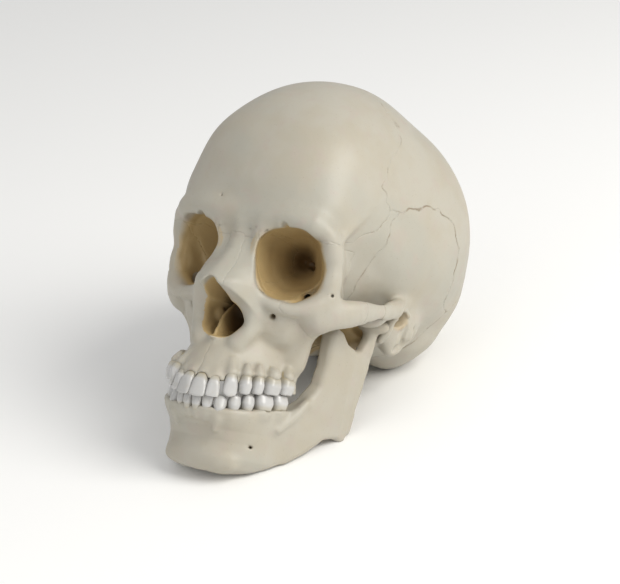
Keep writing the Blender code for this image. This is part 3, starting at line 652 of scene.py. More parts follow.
@dataclass
class SkullBase:
    """Ear region, jaw sockets, mastoids, condyles and the great hole."""

    great_hole: tuple[float, float] = (14.0, 17.0)

    def shape(self, c: Clay) -> None:
        """Melt and carve the base."""
        c.add(Rope([(0, 36, -10, 9), (0, 18, -15, 9), (0, 4, -20, 7)], (1.4, 1, 1)), 9)
        c.add(Egg((27, 8, -10), (20, 12, 9), (0, 0, -25)), 9)
        c.add(Egg((46, -9, 0), (12, 15, 14)), 9)
        c.add(Egg((48.5, -4.5, -7), (6.8, 8.0, 11.5), (12, -8, 0)), 5)
        c.add(Rope([(42, 6, -10, 2.4), (41, 7.5, -17, 2.0), (40.5, 8.5, -22, 1.6)]), 3)
        c.add(Egg((0, -16, -6), (38, 34, 17)), 10)
        c.add(Egg((13, -7, -22), (6, 12, 6), (0, 0, -20)), 6)
        c.add(Egg((0, -80, 8), (9, 6, 6)), 10)
        c.press((45, -55, -15), 12, 3.6)
        c.press((24, -46, -22), 11, -2.2)
        c.add(Rope([(58.5, 22, 5, 3.2), (56.5, 11, 7.5, 3.4), (53.5, 1, 11, 3), (50, -12, 14, 2.5)]), 7)
        c.add(Egg((49, 25, -1), (10, 5, 5)), 6)
        c.carve(Egg((46.5, 15.0, -5.0), (11, 6.8, 7.2)), 3)
        c.add(Rope([(53, 7, 0, 2.2), (51, 6.5, -6, 2.4), (48, 6, -11, 2)], (1.2, 1, 1)), 3)
        c.carve(Rope([(66, 0, 2.5, 4.6), (54, 2, 2, 3.8), (42, 5, 0, 3.2)]), 2)
        c.carve(Rope([(45, -20, -17, 3), (41, -11, -15, 3), (38, 0, -15, 2.5)]), 5)
        wide, long = self.great_hole
        c.carve(Cave((0, -19, -34), (0, -12, -4), (wide, long), [(0, 1.05), (1, 0.9)]), 4)
        c.add(Plate([(32, -6), (44, -6), (44, -26), (40, -37), (35, -36), (34, -22)],
                    lambda f, z: 15 - (z + 8) * 0.12 + (38 - f) * 0.35, even(1.9), 1.4), 5)
        c.add(Plate([(33, -6), (44, -6), (43, -28), (39, -34), (36, -30)], even(9.5), even(1.8), 1.4), 5)

    def details(self, c: Clay) -> None:
        """The ear hole's rim, the mastoid's furrows and the holes of the base."""
        c.add(Rope([(55.5, 6.5, 1.5, 1.2), (55.5, 5.0, 5.8, 1.3), (56.5, 0.5, 7.4, 1.3),
                    (57, -3.5, 4.5, 1.2)]), 1.5)
        c.add(Rope([(52, -1, -2, 1.3), (50.8, -0.5, -8, 1.4), (50, -1.5, -15, 1.3)]), 2)
        c.add(Rope([(56, -7, 0, 1.4), (54.5, -7.5, -7, 1.4), (52, -7, -14, 1.3)]), 2.5)
        c.carve(Rope([(57, -3.5, -1, 0.8), (55, -4, -8, 0.8), (53, -4.5, -13, 0.6)]), 1.5)
        c.carve(Rope([(58, -13, 0, 0.7), (56, -13, -8, 0.7)]), 2)
        for place, size in (((57, -1.5, -5), (2.6, 1.6, 3.2)), ((55.5, -5.5, -11), (2.4, 1.4, 3.0)),
                            ((54.5, -2, -14), (2.4, 1.5, 2.4)), ((58.5, -10.5, -2), (2.0, 1.6, 2.6))):
            c.carve(Egg(place, size), 1.4)
        c.add(Egg((57.5, 2.5, -3.5), (1.6, 1.4, 2.8)), 1.5)
        c.add(Egg((56.5, -8.5, -5), (2.0, 1.5, 3.6)), 1.8)
        for row in ((29, 4, -24, 3.6), (24, 22, -22, 2.4), (31, 16, -20, 1.6), (16, -3, -20, 1.8),
                    (33, -1, -22, 2.6)):
            c.carve(Rope([row, (row[0] + 1, row[1] + 1, row[2] + 8, row[3] * 0.7)]), 1.2)


@dataclass
class Face:
    """Brow, cheekbones and arches, nose bridge and upper jaw, with the openings between them."""

    orbit_half: tuple[float, float] = (16.6, 18.0)
    orbit_roll: float = -14.0
    nose_half: tuple[float, float] = (11.4, 13.5)
    nose_ridge: list[tuple[float, float]] = field(default_factory=lambda: [
        (2.0, 102), (4, 101), (8, 97), (14, 91), (20, 86.5), (26, 84.5), (34, 85.5)])
    nose_way_in: list[tuple[float, float]] = field(default_factory=lambda: [
        (-0.3, 1.0), (0.0, 1.0), (0.4, 0.95), (1.0, 0.7)])

    def orbit(self) -> Cave:
        """The left eye socket."""
        return Cave((29.4, 79.5, 16.6), (13, 36, 22), self.orbit_half,
                    [(-0.2, 1.02), (0.0, 1.0), (0.2, 1.02), (0.5, 0.78), (0.8, 0.42), (0.95, 0.16),
                     (1.0, 0.03)],
                    2.8, self.orbit_roll)

    def nose_top(self) -> Cave:
        """The narrow upper part of the nose opening."""
        half = (self.nose_half[0] * 0.60, self.nose_half[1] * 0.95)
        return Cave((0, 98, -9.5), (0, 42, -7), half, self.nose_way_in)

    def nose_low(self) -> Cave:
        """The wide lower part of the nose opening."""
        half = (self.nose_half[0], self.nose_half[1] * 0.74)
        return Cave((0, 92, -15.2), (0, 40, -14.4), half, self.nose_way_in, 2.3)

    def shape(self, c: Clay) -> None:
        """Melt the face together."""
        c.add(Rope([(0, 80, 37, 6.0), (14, 80.0, 39, 5.0), (27, 79.5, 40, 4.2), (38.5, 76, 38.2, 4.3)]), 13)
        c.add(Rope([(36, 75.5, 38.5, 3.6), (44.8, 70.8, 35, 4.3), (47.2, 66.6, 27.5, 3.9),
                    (47.6, 63.8, 19, 3.8), (47.6, 62.8, 9, 3.8), (46.4, 62.3, 1, 4.0)]), 7)
        c.add(Rope([(45.5, 66, 26, 4), (43.5, 58, 23, 4), (39, 48, 18, 5)]), 9)
        c.add(Rope([(46.5, 63, 12, 4), (43.5, 56, 9, 4), (39, 46, 6, 5)]), 9)
        c.add(Egg((43.6, 56.5, 14), (3.8, 10, 15), (0, 0, -22)), 5)
        c.add(Egg((42.5, 62.6, -4.5), (9.5, 5.2, 8.2), (0, 0, -42)), 6)
        c.add(Rope([(46.5, 63, 4, 3.6), (43, 69, -1.8, 3.2), (34, 74.6, -5.6, 3.2), (24, 78.5, -4.6, 3.0),
                    (17, 80.5, 0, 2.8), (13.5, 81.5, 9, 2.8)]), 9)
        c.add(Rope([(42, 60, -9, 4.6), (36, 58, -16, 4.4), (31.5, 55.5, -24, 4.6), (28.5, 54, -31, 5)]), 8)
        c.add(Rope([(45.0, 60.5, -4.0, 6.8), (51, 55, -3.0, 7.4), (57, 45, -0.2, 6.0), (60, 35, 2.2, 4.2),
                    (60.3, 24, 4.0, 3.7), (58.5, 13, 5.6, 4.0)], (0.55, 1, 1)), 5)
        c.add(Roof(self.nose_ridge, 58, 0.62, 6.5, 0.11), 5)
        c.add(Rope([(13, 79.5, 36, 4.2), (11.8, 79.5, 28, 3.9), (11.5, 79, 20, 3.5), (12, 80, 12, 3.8),
                    (12.5, 82, 3, 4.0), (15.0, 80.5, -8, 4.2), (16, 79, -18, 4.6), (11, 82, -27, 5)]), 7)
        c.add(Egg((19.5, 63, -10), (16, 13.5, 17)), 8)
        c.add(Egg((0, 56, 10), (13, 24, 24)), 8)
        c.add(Horseshoe([(-46.6, 33.0, 49.6), (-43, 32.2, 47.0), (-37, 30.6, 44.4), (-31, 28.9, 41.2),
                         (-25, 28, 38.2), (-18, 26, 35.5)], 48, 53, 1.95), 4)
        c.add(Egg((25.5, 54, -26), (9, 8, 14)), 7)
        c.add(Rope([(0, 84, -24.0, 3.4), (0, 89, -24.0, 2.4), (0, 92.5, -23.5, 1.4)]), 5)
        c.carve(Egg((29, 82, -18), (8, 6, 8)), 8)
        c.carve(Egg((0, 58, -46), (20.5, 30, 15)), 5)

    def open_up(self, c: Clay) -> None:
        """Carve the eye sockets and the nose, with the clefts and small holes around them."""
        c.carve(self.orbit(), 1.0)
        c.carve(Cave((33.5, 78, 15.5), (22, 46, 19), (15.2, 15.2),
                     [(-0.2, 1.02), (0.0, 1.0), (0.22, 0.9), (0.45, 0.62), (1.0, 0.2)],
                     2.6, self.orbit_roll), 1.2)
        c.carve(self.nose_top(), 0.9)
        c.carve(self.nose_low(), 0.9)
        c.carve(Rope([(7, 50, -12, 6), (7.5, 36, -13, 7), (8, 26, -16, 7)], (0.8, 1, 1.3)), 2)
        c.carve(Rope([(25.5, 80, -13, 1.3), (24, 72, -9, 1.2)]), 3)
        c.carve(Rope([(13.2, 80.0, 15, 1.2), (14.8, 80.2, 7, 2.1), (16.6, 79.4, -1, 2.4),
                      (16.5, 74, -8, 1.9)]), 0.6)
        c.carve(Rope([(18, 38, 21, 2.6), (24, 40, 20, 3.0), (33, 44, 26, 1.8)]), 1.5)
        c.carve(Rope([(20, 44, 9, 1.6), (28, 53, 4, 2.0), (35, 61, 0, 1.5)]), 1.5)
        c.carve(Rope([(25.8, 88, 34.8, 2.6), (26.0, 76, 33.4, 2.5)]), 0.7)
        c.carve(Rope([(52.5, 70, 5.5, 0.9), (50, 64, 5.0, 0.8)]), 0.6)
        c.carve(Rope([(14, 90, 47, 0.45), (14, 80, 45, 0.45)]), 0.4)

    def partition(self, c: Clay) -> None:
        """The bent partition of the nose and the scrolls beside it, different on each side."""
        c.add(Plate([(86, -26), (84, -22), (68, -6), (62, 8), (42, 8), (38, -26)],
                    lambda f, z: -1.2 - 3.4 * np.exp(-((z + 12) / 8) ** 2), even(0.9), 0.7), 1.6)
        c.add(Rope([(11.4, 76, -13, 1.2), (6.4, 70, -17, 1.8), (5.8, 60, -18, 2.4), (6.6, 48, -17, 2.2)],
                   (0.7, 1, 1.9)), 1.2)
        c.add(Rope([(-11.6, 75, -11, 1.2), (-8.2, 69, -15, 1.6), (-8.0, 60, -16, 2.0),
                    (-7.6, 48, -16, 2.2)], (0.6, 1, 1.9)), 1.2)


@dataclass
class LowerJaw:
    """The lower jaw: its body, the two rising branches and their heads."""

    outer: list[tuple] = field(default_factory=lambda: [
        (-92, 24, 30), (-89, 28, 34.5), (-84, 30, 37.6), (-76, 30.5, 37.4), (-70, 30.8, 40.2),
        (-65, 31.4, 44.8), (-61, 31.8, 47.8), (-56, 32.2, 49)])
    inner: list[tuple] = field(default_factory=lambda: [
        (-96, 16, 25), (-84, 19, 26), (-76, 21, 26.5), (-69, 22, 30), (-62, 22, 36), (-56, 22, 38)])
    lower_rim: list[tuple] = field(default_factory=lambda: [
        (0, -66), (20, -66), (30, -66.5), (38, -71.8), (48, -79), (60, -87), (76, -94.2), (100, -99)])
    crest: list[tuple] = field(default_factory=lambda: [
        (36, -46), (50, -50.5), (60, -55), (80, -58.5), (96, -60.5)])
    branch: list[tuple] = field(default_factory=lambda: [
        (54, -56), (47, -49), (42, -40), (41, -30), (41.5, -20), (41.5, -13), (38.5, -9.5), (35, -11),
        (31, -16.5), (26, -19.0), (20.5, -18.0), (17.0, -12), (15.8, -5), (11.2, -5), (10.2, -17),
        (10.4, -26), (11.8, -36), (14, -46), (16.2, -57), (18.5, -64), (22.5, -67), (27, -65.5), (34, -67),
        (44, -76), (52, -81)])
    low: Array = field(default_factory=lambda: np.array([0.0, 34, -96]))
    high: Array = field(default_factory=lambda: np.array([48.0, 98, -45]))

    def __call__(self, x: Array, f: Array, z: Array) -> Array:
        """The field of the jaw's body at places."""
        x = x - np.clip(62 - f, 0, 26) * (0.06 + 0.26 * np.clip((-50 - z) / 16, 0, 1))
        rim, crest = np.array(self.lower_rim), np.array(self.crest)
        fall = np.interp(f, rim[:, 0], rim[:, 1])
        top = np.interp(f, crest[:, 0], crest[:, 1])
        body, hollow = Horseshoe(self.outer, 48, 36, 2.5), Horseshoe(self.inner, 47, 20, 2.3)
        shell = -smooth_min(-body(x, f, z), hollow(x, f, z), 3)
        shell = -smooth_min(-shell, -(fall - z) * 0.8, 4)
        return -smooth_min(-shell, -(z - top) * 0.9, 3)

    def shape(self, c: Clay) -> None:
        """Melt the jaw together."""
        c.add(self)
        c.add(Plate(self.branch, lambda f, z: 44.2 + (z + 40) * 0.04 - np.clip(f - 27, 0, 40) * 0.56,
                    lambda f, z: 3.2 + 0 * z + np.clip(f - 32, 0, 20) * 0.12, 2.4), 7)
        c.add(Egg((47, 14.2, -4.2), (9.0, 4.2, 4.4), (0, 0, -12)), 3)
        c.add(Rope([(46.5, 13.2, -8, 3.4), (46, 13.4, -18, 3.0)], (1, 0.85, 1)), 3)
        c.add(Egg((0, 82, -86), (13, 4.0, 6)), 7)
        c.add(Egg((14.0, 78.6, -87.0), (6.8, 3.4, 4.0)), 8)
        c.carve(Rope([(27.4, 78, -73.8, 0.8), (25.2, 74, -76.4, 1.1), (22, 68, -77, 0.9)], (1, 1, 0.7)), 1)

    def details(self, c: Clay) -> None:
        """The slanting ridge, the rough corner and the hollow over the chin."""
        c.add(Rope([(37.0, 48, -50, 1.4), (35.0, 54, -58, 1.2), (32.0, 61, -66, 0.8)]), 8)
        c.add(Rope([(45.5, 21.5, -58, 1.2), (45.6, 22.5, -66, 1.2)]), 3)
        c.add(Rope([(45.8, 16.5, -52, 1.0), (45.4, 17.5, -61, 1.2)]), 3)
        c.carve(Egg((0, 91.5, -73), (16, 3.2, 5)), 6)


class Row(Enum):
    """The two rows of teeth."""

    UPPER = "upper"
    LOWER = "lower"


class Kind(Enum):
    """The kinds of teeth."""

    INCISOR = "incisor"
    CANINE = "canine"
    PREMOLAR = "premolar"
    MOLAR = "molar"


@dataclass(frozen=True)
class ToothShape:
    """How one kind of tooth widens, and how the bone swells over its root.

    The rows of wide and deep are (place, share of the full size). A place runs from -1 at the
    root's tip over 0 at the neck to 1 at the bite.
    """

    wide: tuple[tuple[float, float], ...]
    deep: tuple[tuple[float, float], ...]
    power: float
    # the swelling's length in mm, its lean to the tongue per mm and its share of the depth outward
    swelling: float
    lean: float
    out: float


SHAPES: dict[Kind, ToothShape] = {
    Kind.INCISOR: ToothShape(
        ((-1, 0.42), (-0.6, 0.66), (0, 0.74), (0.35, 0.94), (0.75, 1.0), (1, 0.95)),
        ((-1, 0.5), (-0.6, 0.76), (0, 0.86), (0.25, 0.92), (0.7, 0.44), (1, 0.20)), 2.6, 5.0, 0.12, 0.0),
    Kind.CANINE: ToothShape(
        ((-1, 0.42), (-0.6, 0.66), (0, 0.72), (0.5, 0.98), (0.78, 0.96), (1, 0.62)),
        ((-1, 0.5), (-0.6, 0.76), (0, 0.86), (0.3, 0.95), (0.7, 0.52), (1, 0.22)), 2.3, 8.0, 0.22, 0.12),
    Kind.PREMOLAR: ToothShape(
        ((-1, 0.2), (-0.5, 0.52), (0, 0.70), (0.5, 1.0), (0.85, 0.88), (1, 0.66)),
        ((-1, 0.3), (-0.5, 0.6), (0, 0.82), (0.4, 1.0), (0.85, 0.80), (1, 0.6)), 2.4, 6.0, 0.26, 0.12),
    Kind.MOLAR: ToothShape(
        ((-1, 0.3), (-0.5, 0.72), (0, 0.82), (0.5, 1.0), (0.9, 0.92), (1, 0.78)),
        ((-1, 0.3), (-0.5, 0.66), (0, 0.86), (0.4, 1.0), (0.9, 0.82), (1, 0.7)), 3.0, 5.0, 0.26, 0.12),
}


@dataclass(frozen=True)
class ToothSizes:
    """One tooth's kind and sizes in mm, its outward tilt in degrees and its way back from the bite.

    Its space is the extra gap that it leaves before the next tooth, in mm.
    """

    kind: Kind
    width: float
    depth: float
    height: float
    tilt: float
    back: float
    root: float
    space: float = 0.0


class Tooth:
    """The field of one tooth: u runs along the row, v outward, and w from the neck to the bite."""

    def __init__(self, sizes: ToothSizes, bite: Array, along: Array, away: float) -> None:
        """Set the tooth's own directions and reach.

        Args:
            sizes: of the tooth.
            bite: the middle of its biting edge.
            along: the way that the row runs there.
            away: -1 for a tooth that hangs, 1 for one that stands.
        """
        self.sizes, self.shape = sizes, SHAPES[sizes.kind]
        self.u = np.array([along[0], along[1], 0.0])
        out = np.array([-along[1], along[0], 0.0])
        r = math.radians(sizes.tilt)
        self.axis = math.cos(r) * np.array([0, 0, away]) + math.sin(r) * out
        self.v = out - (out @ self.axis) * self.axis
        self.v /= np.linalg.norm(self.v)
        self.neck = np.array(bite) - self.axis * sizes.height
        tip = self.neck - self.axis * sizes.root
        reach = max(sizes.width, sizes.depth) / 2 + 2
        self.low, self.high = np.minimum(bite, tip) - reach, np.maximum(bite, tip) + reach

    def local(self, x: Array, f: Array, z: Array) -> tuple[Array, Array, Array]:
        """Places along u, v and w.

        Args:
            x: places to the side.
            f: places to the front.
            z: places up.

        Returns:
            The same places measured from the neck.
        """
        x, f, z = x - self.neck[0], f - self.neck[1], z - self.neck[2]
        return tuple(x * way[0] + f * way[1] + z * way[2] for way in (self.u, self.v, self.axis))

    def __call__(self, x: Array, f: Array, z: Array) -> Array:
        """The field at places."""
        u, v, w = self.local(x, f, z)
        s, power = self.sizes, self.shape.power
        wide = self._along(w, self.shape.wide) * (s.width / 2)
        deep = self._along(w, self.shape.deep) * (s.depth / 2)
        front = s.kind in (Kind.INCISOR, Kind.CANINE)
        bend = ((-1, -0.3), (0, 0), (0.4, 0.15), (1, 0.09)) if front else ((-1, -0.8), (0, 0), (1, 0))
        bow = self._along(w, bend) * (s.depth / 2)
        ring = (np.abs(u / wide) ** power + np.abs((v - bow) / deep) ** power) ** (1 / power)
        body = (ring - 1) * np.minimum(wide, deep)
        u, v = np.abs(u / s.width), np.abs(v / s.depth)
        if s.kind is Kind.PREMOLAR:
            crown = s.height - 0.3 + 1.5 * v ** 1.2 - 0.9 * u ** 2
        elif s.kind is Kind.MOLAR:
            crown = s.height - 0.4 + 1.3 * np.minimum(v * 1.6, 1) * np.minimum(u * 1.8 + 0.25, 1)
        elif s.kind is Kind.CANINE:
            crown = s.height - 0.25 * u * s.width
        else:
            crown = s.height
        body = -smooth_min(-body, -(w - crown), 1.2)
        return np.maximum(body, -w - s.root)

    def _along(self, w: Array, rows: tuple[tuple[float, float], ...]) -> Array:
        """Shares at places from the root's tip to the bite, by straight lines between rows.

        Args:
            w: places along the tooth.
            rows: the shares, as a shape gives them.

        Returns:
            A share for each place.
        """
        return np.interp(w, [at * (self.sizes.root if at < 0 else self.sizes.height) for at, _ in rows],
                         [share for _, share in rows])


@dataclass
class ToothRow:
    """A row of teeth set along an arch, from the middle back on both sides."""

    row: Row
    half_width: float
    depth: float
    centre: float
    teeth: list[ToothSizes]
    gap: float = 0.35
    bite_front: float = -53.6
    bite_rise: float = 7.0

    def places(self) -> Iterator[Tooth]:
        """Each tooth of the left side."""
        turn = np.linspace(0, math.pi * 0.53, 400)
        x, f = self.half_width * np.sin(turn), self.centre + self.depth * np.cos(turn)
        run = np.concatenate([[0], np.cumsum(np.hypot(np.diff(x), np.diff(f)))])
        away = -1.0 if self.row is Row.UPPER else 1.0
        place = self.gap / 2
        for sizes in self.teeth:
            middle = place + sizes.width / 2
            place += sizes.width + self.gap + sizes.space
            ends = [np.array([np.interp(middle + step, run, x), np.interp(middle + step, run, f)])
                    for step in (-0.5, 0, 0.5)]
            along = (ends[2] - ends[0]) / np.linalg.norm(ends[2] - ends[0])
            back = np.clip((self.centre + self.depth - ends[1][1]) / self.depth, 0, 1)
            up = self.bite_front + self.bite_rise * back ** 0.8 - away * sizes.back
            yield Tooth(sizes, np.array([*ends[1], up]), along, away)

    def set_in(self, c: Clay) -> None:
        """Raise the bone over each root and open its socket.

        Args:
            c: the clay that holds the row.
        """
        for tooth in self.places():
            s, shape = tooth.sizes, tooth.shape
            ends = []
            for down, out in ((shape.swelling, shape.out), (2.0, shape.out + 0.04)):
                ends.append(tooth.neck - tooth.axis * down + tooth.v * (s.depth * out - down * shape.lean))
            rows = [(*ends[0], s.width * 0.14), (*(ends[0] + ends[1]) / 2, s.width * 0.24),
                    (*ends[1], s.width * 0.34)]
            c.add(Rope(rows), 5)
        for tooth in self.places():
            s = tooth.sizes
            rows = [(*(tooth.neck + tooth.axis * 1.6), s.width * 0.42),
                    (*(tooth.neck + tooth.axis * 5), s.width * 0.5)]
            c.carve(Rope(rows, (1, s.depth / s.width * 0.9, 1)), 1.0)

    def make(self) -> bpy.types.Object:
        """All the teeth of the row as one piece of closed bodies."""
        corners, faces, roots, shades = [], [], [], []
        count = 0
        tones = np.random.default_rng(5 if self.row is Row.UPPER else 6)
        for tooth in self.places():
            axes = [np.arange(low, high, TOOTH_STEP) for low, high in zip(tooth.low, tooth.high)]
            grid = tooth(axes[0][:, None, None], axes[1][None, :, None], axes[2][None, None, :])
            points, rows = surface_of(grid, tooth.low, TOOTH_STEP, TOOTH_BAND)
            w = tooth.local(*points.T)[2]
            for side in (1, -1):
                corners.append(points * (side, 1, 1))
                faces += [(np.asarray(row[::-side], int) + count).tolist() for row in rows]
                count += len(points)
                roots.append(w)
                shades.append(np.full(len(points), tones.uniform(0, 1)))
        thing = laid_at_rest(f"{self.row.value}_teeth", np.concatenate(corners), faces)
        give_layers(thing, crown=np.concatenate(roots), tone=np.concatenate(shades))
        return thing


class Facing(Enum):
    """The way from which an outline is drawn."""

    SIDE = "side"
    FRONT = "front"


@dataclass(frozen=True)
class Region:
    """The space that one bone takes: an outline drawn along an axis, its edge wandering like a suture."""

    axis: Facing
    outline: tuple[tuple[float, float], ...]
    start: float
    stop: float
    seam: float = 0.5
    wander: float = 1.0

    def gap(self, points: tuple[Array, Array, Array], mirrored: bool, waves: tuple[Grain, Grain]) -> Array:
        """Distance outside the region at places; less than zero inside.

        Args:
            points: places to the side, to the front and up.
            mirrored: whether it is a right bone.
            waves: the long and the short swells that bend its edge.

        Returns:
            A distance for each place.
        """
        x, f, z = points
        if mirrored:
            x = -x
        a, b, end = (f, z, x) if self.axis is Facing.SIDE else (x, z, f)
        slow, quick = waves
        # the right side and the second bend read the swells at other places, so that they differ
        at = a + (37.0 if mirrored else 0.0)
        a_bent = a + self.wander * (1.5 * slow.at(at, b) + 1.3 * quick.at(at, b))
        at, over = at + 91.0, b + 53.0
        b_bent = b + self.wander * (1.5 * slow.at(at, over) + 1.3 * quick.at(at, over))
        rim = outline_distance(self.outline, a_bent, b_bent)
        if self.start == 0.0:
            # both sides share the line where they meet in the middle
            middle = self.wander * (1.5 * quick.at(a + 91.0, over) + 1.6 * slow.at(a, b))
            end = end + (-middle if mirrored else middle)
        return np.maximum(rim + np.zeros_like(end), np.maximum(self.start - end, end - self.stop))


def both_sides(name: str, region: Region) -> dict[str, Region]:
    """One region under the names of its left and its right bone."""
    return {f"{name}_left": region, f"{name}_right": region}


# the order is the order in which the bones are parted from the rest
BONES: dict[str, Region] = {
    "nasal": Region(Facing.FRONT, (
        (-3.8, 28.5), (3.8, 28.5), (5.2, 18), (6.6, 8), (7.4, -12), (-7.4, -12), (-6.6, 8), (-5.2, 18),
    ), 74.0, FAR, 0.35, 0.25),
    **both_sides("zygomatic", Region(Facing.FRONT, (
        (29, 2), (29.5, -5), (34, -10), (38, -16), (42, -24), (76, -24), (76, 30.5), (42, 30.5), (38, 18),
    ), 45.0, FAR, 0.25, 0.5)),
    "vomer": Region(Facing.SIDE, ((36, -23), (81, -23), (81, -1), (36, -1)), -6.4, 3.0, 0.2, 0.2),
    **both_sides("maxilla", Region(Facing.SIDE, (
        (45.3, -62), (FAR, -62), (FAR, 27), (79, 27), (77, 14), (72, 1.5), (46, 1.5), (44.7, -20),
    ), 0.0, 50.0, 0.4, 0.25)),
    "frontal": Region(Facing.SIDE, (
        (13, 130), (FAR, 130), (FAR, 30.8), (60, 31.2), (50, 36), (38, 46), (34, 54), (42, 64), (33, 81),
        (24, 92), (20, 100), (22, 106),
    ), -80.0, 80.0, 0.6, 1.0),
    "ethmoid": Region(Facing.SIDE, ((44, -1), (90, -1), (90, 40), (44, 40)), -12.5, 12.5, 0.4, 0.4),
    **both_sides("parietal", Region(Facing.SIDE, (
        (60, 140), (-66, 140), (-110, 100), (-86, 74), (-70, 52), (-52, 28), (-38, 12), (-27, 16),
        (-26, 30), (-23, 45), (-14, 56), (-3, 62), (8, 62), (16, 58), (27, 54.5), (35.5, 54), (60, 80),
    ), 0.0, 80.0, 0.9, 1.0)),
    **both_sides("temporal", Region(Facing.SIDE, (
        (-38, 13), (-27, 18), (-23, 46), (-14, 57), (-3, 63), (8, 63), (16, 59), (27, 56), (31, 50),
        (30, 38), (34, 26), (33, 10), (30, -3), (42, -3), (42, -9), (27, -13), (16, -30), (-22, -30),
        (-28, -12),
    ), 22.0, 80.0, 0.6, 0.6)),
    "occipital": Region(Facing.SIDE, ((12, -40), (12, 70), (-110, 70), (-110, -40)), -80.0, 80.0, 0.7, 0.8),
}


@dataclass
class Cranium:
    """All the bones above the jaw, with the upper teeth's sockets."""

    case: Braincase = field(default_factory=Braincase)
    base: SkullBase = field(default_factory=SkullBase)
    face: Face = field(default_factory=Face)
    waves: tuple[Grain, Grain] = field(default_factory=lambda: (Grain(11.0, 31), Grain(3.6, 32)))

    def modelled(self, teeth: ToothRow) -> Clay:
        """The whole cranium as one clay body.

        Args:
            teeth: the upper row.

        Returns:
            The body, both sides of it.
        """
        c = Clay(CLAY_STEP)
        self.case.shape(c)
        self.base.shape(c)
        self.face.shape(c)
        self.case.lines(c)
        teeth.set_in(c)
        self.face.open_up(c)
        self.base.details(c)
        c.mirror()
        self.face.partition(c)
        rough = step_between(70, 20, c.axes[2])[None, None, :] * 0.75 + 0.25
        c.swell(Grain(19.0, 11), 0.30)
        c.swell(Grain(6.5, 12), 0.16, rough)
        c.swell(Grain(2.6, 13), 0.10, rough)
        c.flatten_low()
        return c

    def shut_in(self, points: Array) -> Array:
        """How deep corners lie in the eye sockets or the nose, in mm, for their painted shade, with the same
        painted shade elsewhere.

        Args:
            points: corners in the level skull's millimetres.

        Returns:
            A depth for each corner, 0 on open bone.
        """
        x, f, z = np.abs(points[:, 0]), points[:, 1], points[:, 2]
        deep = np.zeros(len(points))
        # each cave with how far its walls may stand off it, and how fast the painted shade deepens
        for cave, slack, rate in ((self.face.orbit(), 2.8, 1.0), (self.face.nose_top(), 0.8, 1.5),
                                  (self.face.nose_low(), 0.8, 1.5)):
            way_in, wall = cave.way_in(x, f, z)
            inside = (wall < slack) & (way_in < CAVE_SHADE_END)
            deep = np.maximum(deep, np.where(inside, np.clip(way_in * rate, 0, CAVE_SHADE_FULL), 0))
        # painted shade on the underside behind the upper jaw, then in the ear hole with the furrow below it
        under = step_between(43, 38, x) * step_between(2, 10, f) * step_between(53, 47, f)
        under = under * step_between(-42, -34, z) * step_between(7, 0, z)
        ear = step_between(7, 4, np.hypot(f - 1, z - 1)) + 0.6 * step_between(5, 2.5, np.hypot(f + 3, z + 9))
        ear = np.where(x > 44, ear, 0)
        return np.maximum(deep, np.maximum(under * 9.0, ear * 4.2))

    def make(self, teeth: ToothRow) -> list[bpy.types.Object]:
        """Every bone as a closed piece of its own.

        Args:
            teeth: the upper row.

        Returns:
            The pieces, in the order in which they are parted.
        """
        c = self.modelled(teeth)
        # how shut in each place is, which sets the dust and painted shade of hollows
        hollow, hollow_axes = c.hollowness()
        x, f, z = c.axes
        grid = (x[:, None, None], f[None, :, None], z[None, None, :])
        rest = c.field
        pieces = []
        seams: list[tuple[Region, bool]] = []
        low = np.array([axis[0] for axis in c.axes])
        for name, region in [*BONES.items(), ("sphenoid", None)]:
            if region is None:
                bone, cut = rest, (slice(None),) * 3
            else:
                mirrored = name.endswith("_right")
                cut = self._window(c, region, mirrored)
                places = tuple(axis[tuple(part if k == n else slice(None) for k in range(3))]
                               for n, (axis, part) in enumerate(zip(grid, cut)))
                gap = region.gap(places, mirrored, self.waves)
                bone = np.maximum(rest[cut], gap - SEAM_HALF)
                rest[cut] = np.maximum(rest[cut], -SEAM_HALF - gap)
                seams.append((region, mirrored))
            start = low + [part.start * c.step if part.start else 0 for part in cut]
            edge = np.pad(bone, 1, constant_values=2 * c.step)
            piece, points = bone_piece(name, edge, start - c.step, c.step)
            # layers for the colour: dust and painted shade of hollows, painted shade of caves, suture lines
            give_layers(piece, hollow=sampled(hollow, hollow_axes, points), deep=self.shut_in(points),
                        seam=self._seam(points, seams))
            pieces.append(piece)
        return pieces

    def _window(self, c: Clay, region: Region, mirrored: bool) -> tuple:
        """The part of the grid that a region can reach.

        Args:
            c: the body that is parted.
            region: the region.
            mirrored: whether it is a right bone.

        Returns:
            The grid's slices.
        """
        o = np.array(region.outline)
        ends, across = (region.start, region.stop), (o[:, 0].min(), o[:, 0].max())
        up = (o[:, 1].min(), o[:, 1].max())
        side, front = (ends, across) if region.axis is Facing.SIDE else (across, ends)
        if mirrored:
            side = (-side[1], -side[0])
        pad = 5.0
        return tuple(slice(int(np.searchsorted(axis, start - pad)), int(np.searchsorted(axis, stop + pad)))
                     for axis, (start, stop) in zip(c.axes, (side, front, up)))

    def _seam(self, points: Array, seams: list[tuple[Region, bool]]) -> Array:
        """How much each corner lies on the line of a suture, 0 to 1.

        Args:
            points: corners in the level skull's millimetres.
            seams: the regions parted so far.

        Returns:
            A share for each corner.
        """
        x, f, z = points.T
        best = np.zeros(len(points))
        for region, mirrored in seams:
            gap = np.abs(region.gap((x, f, z), mirrored, self.waves))
            best = np.maximum(best, region.seam * step_between(0.75, 0.15, gap))
        return best * (1 - 0.88 * step_between(44, 54, f))


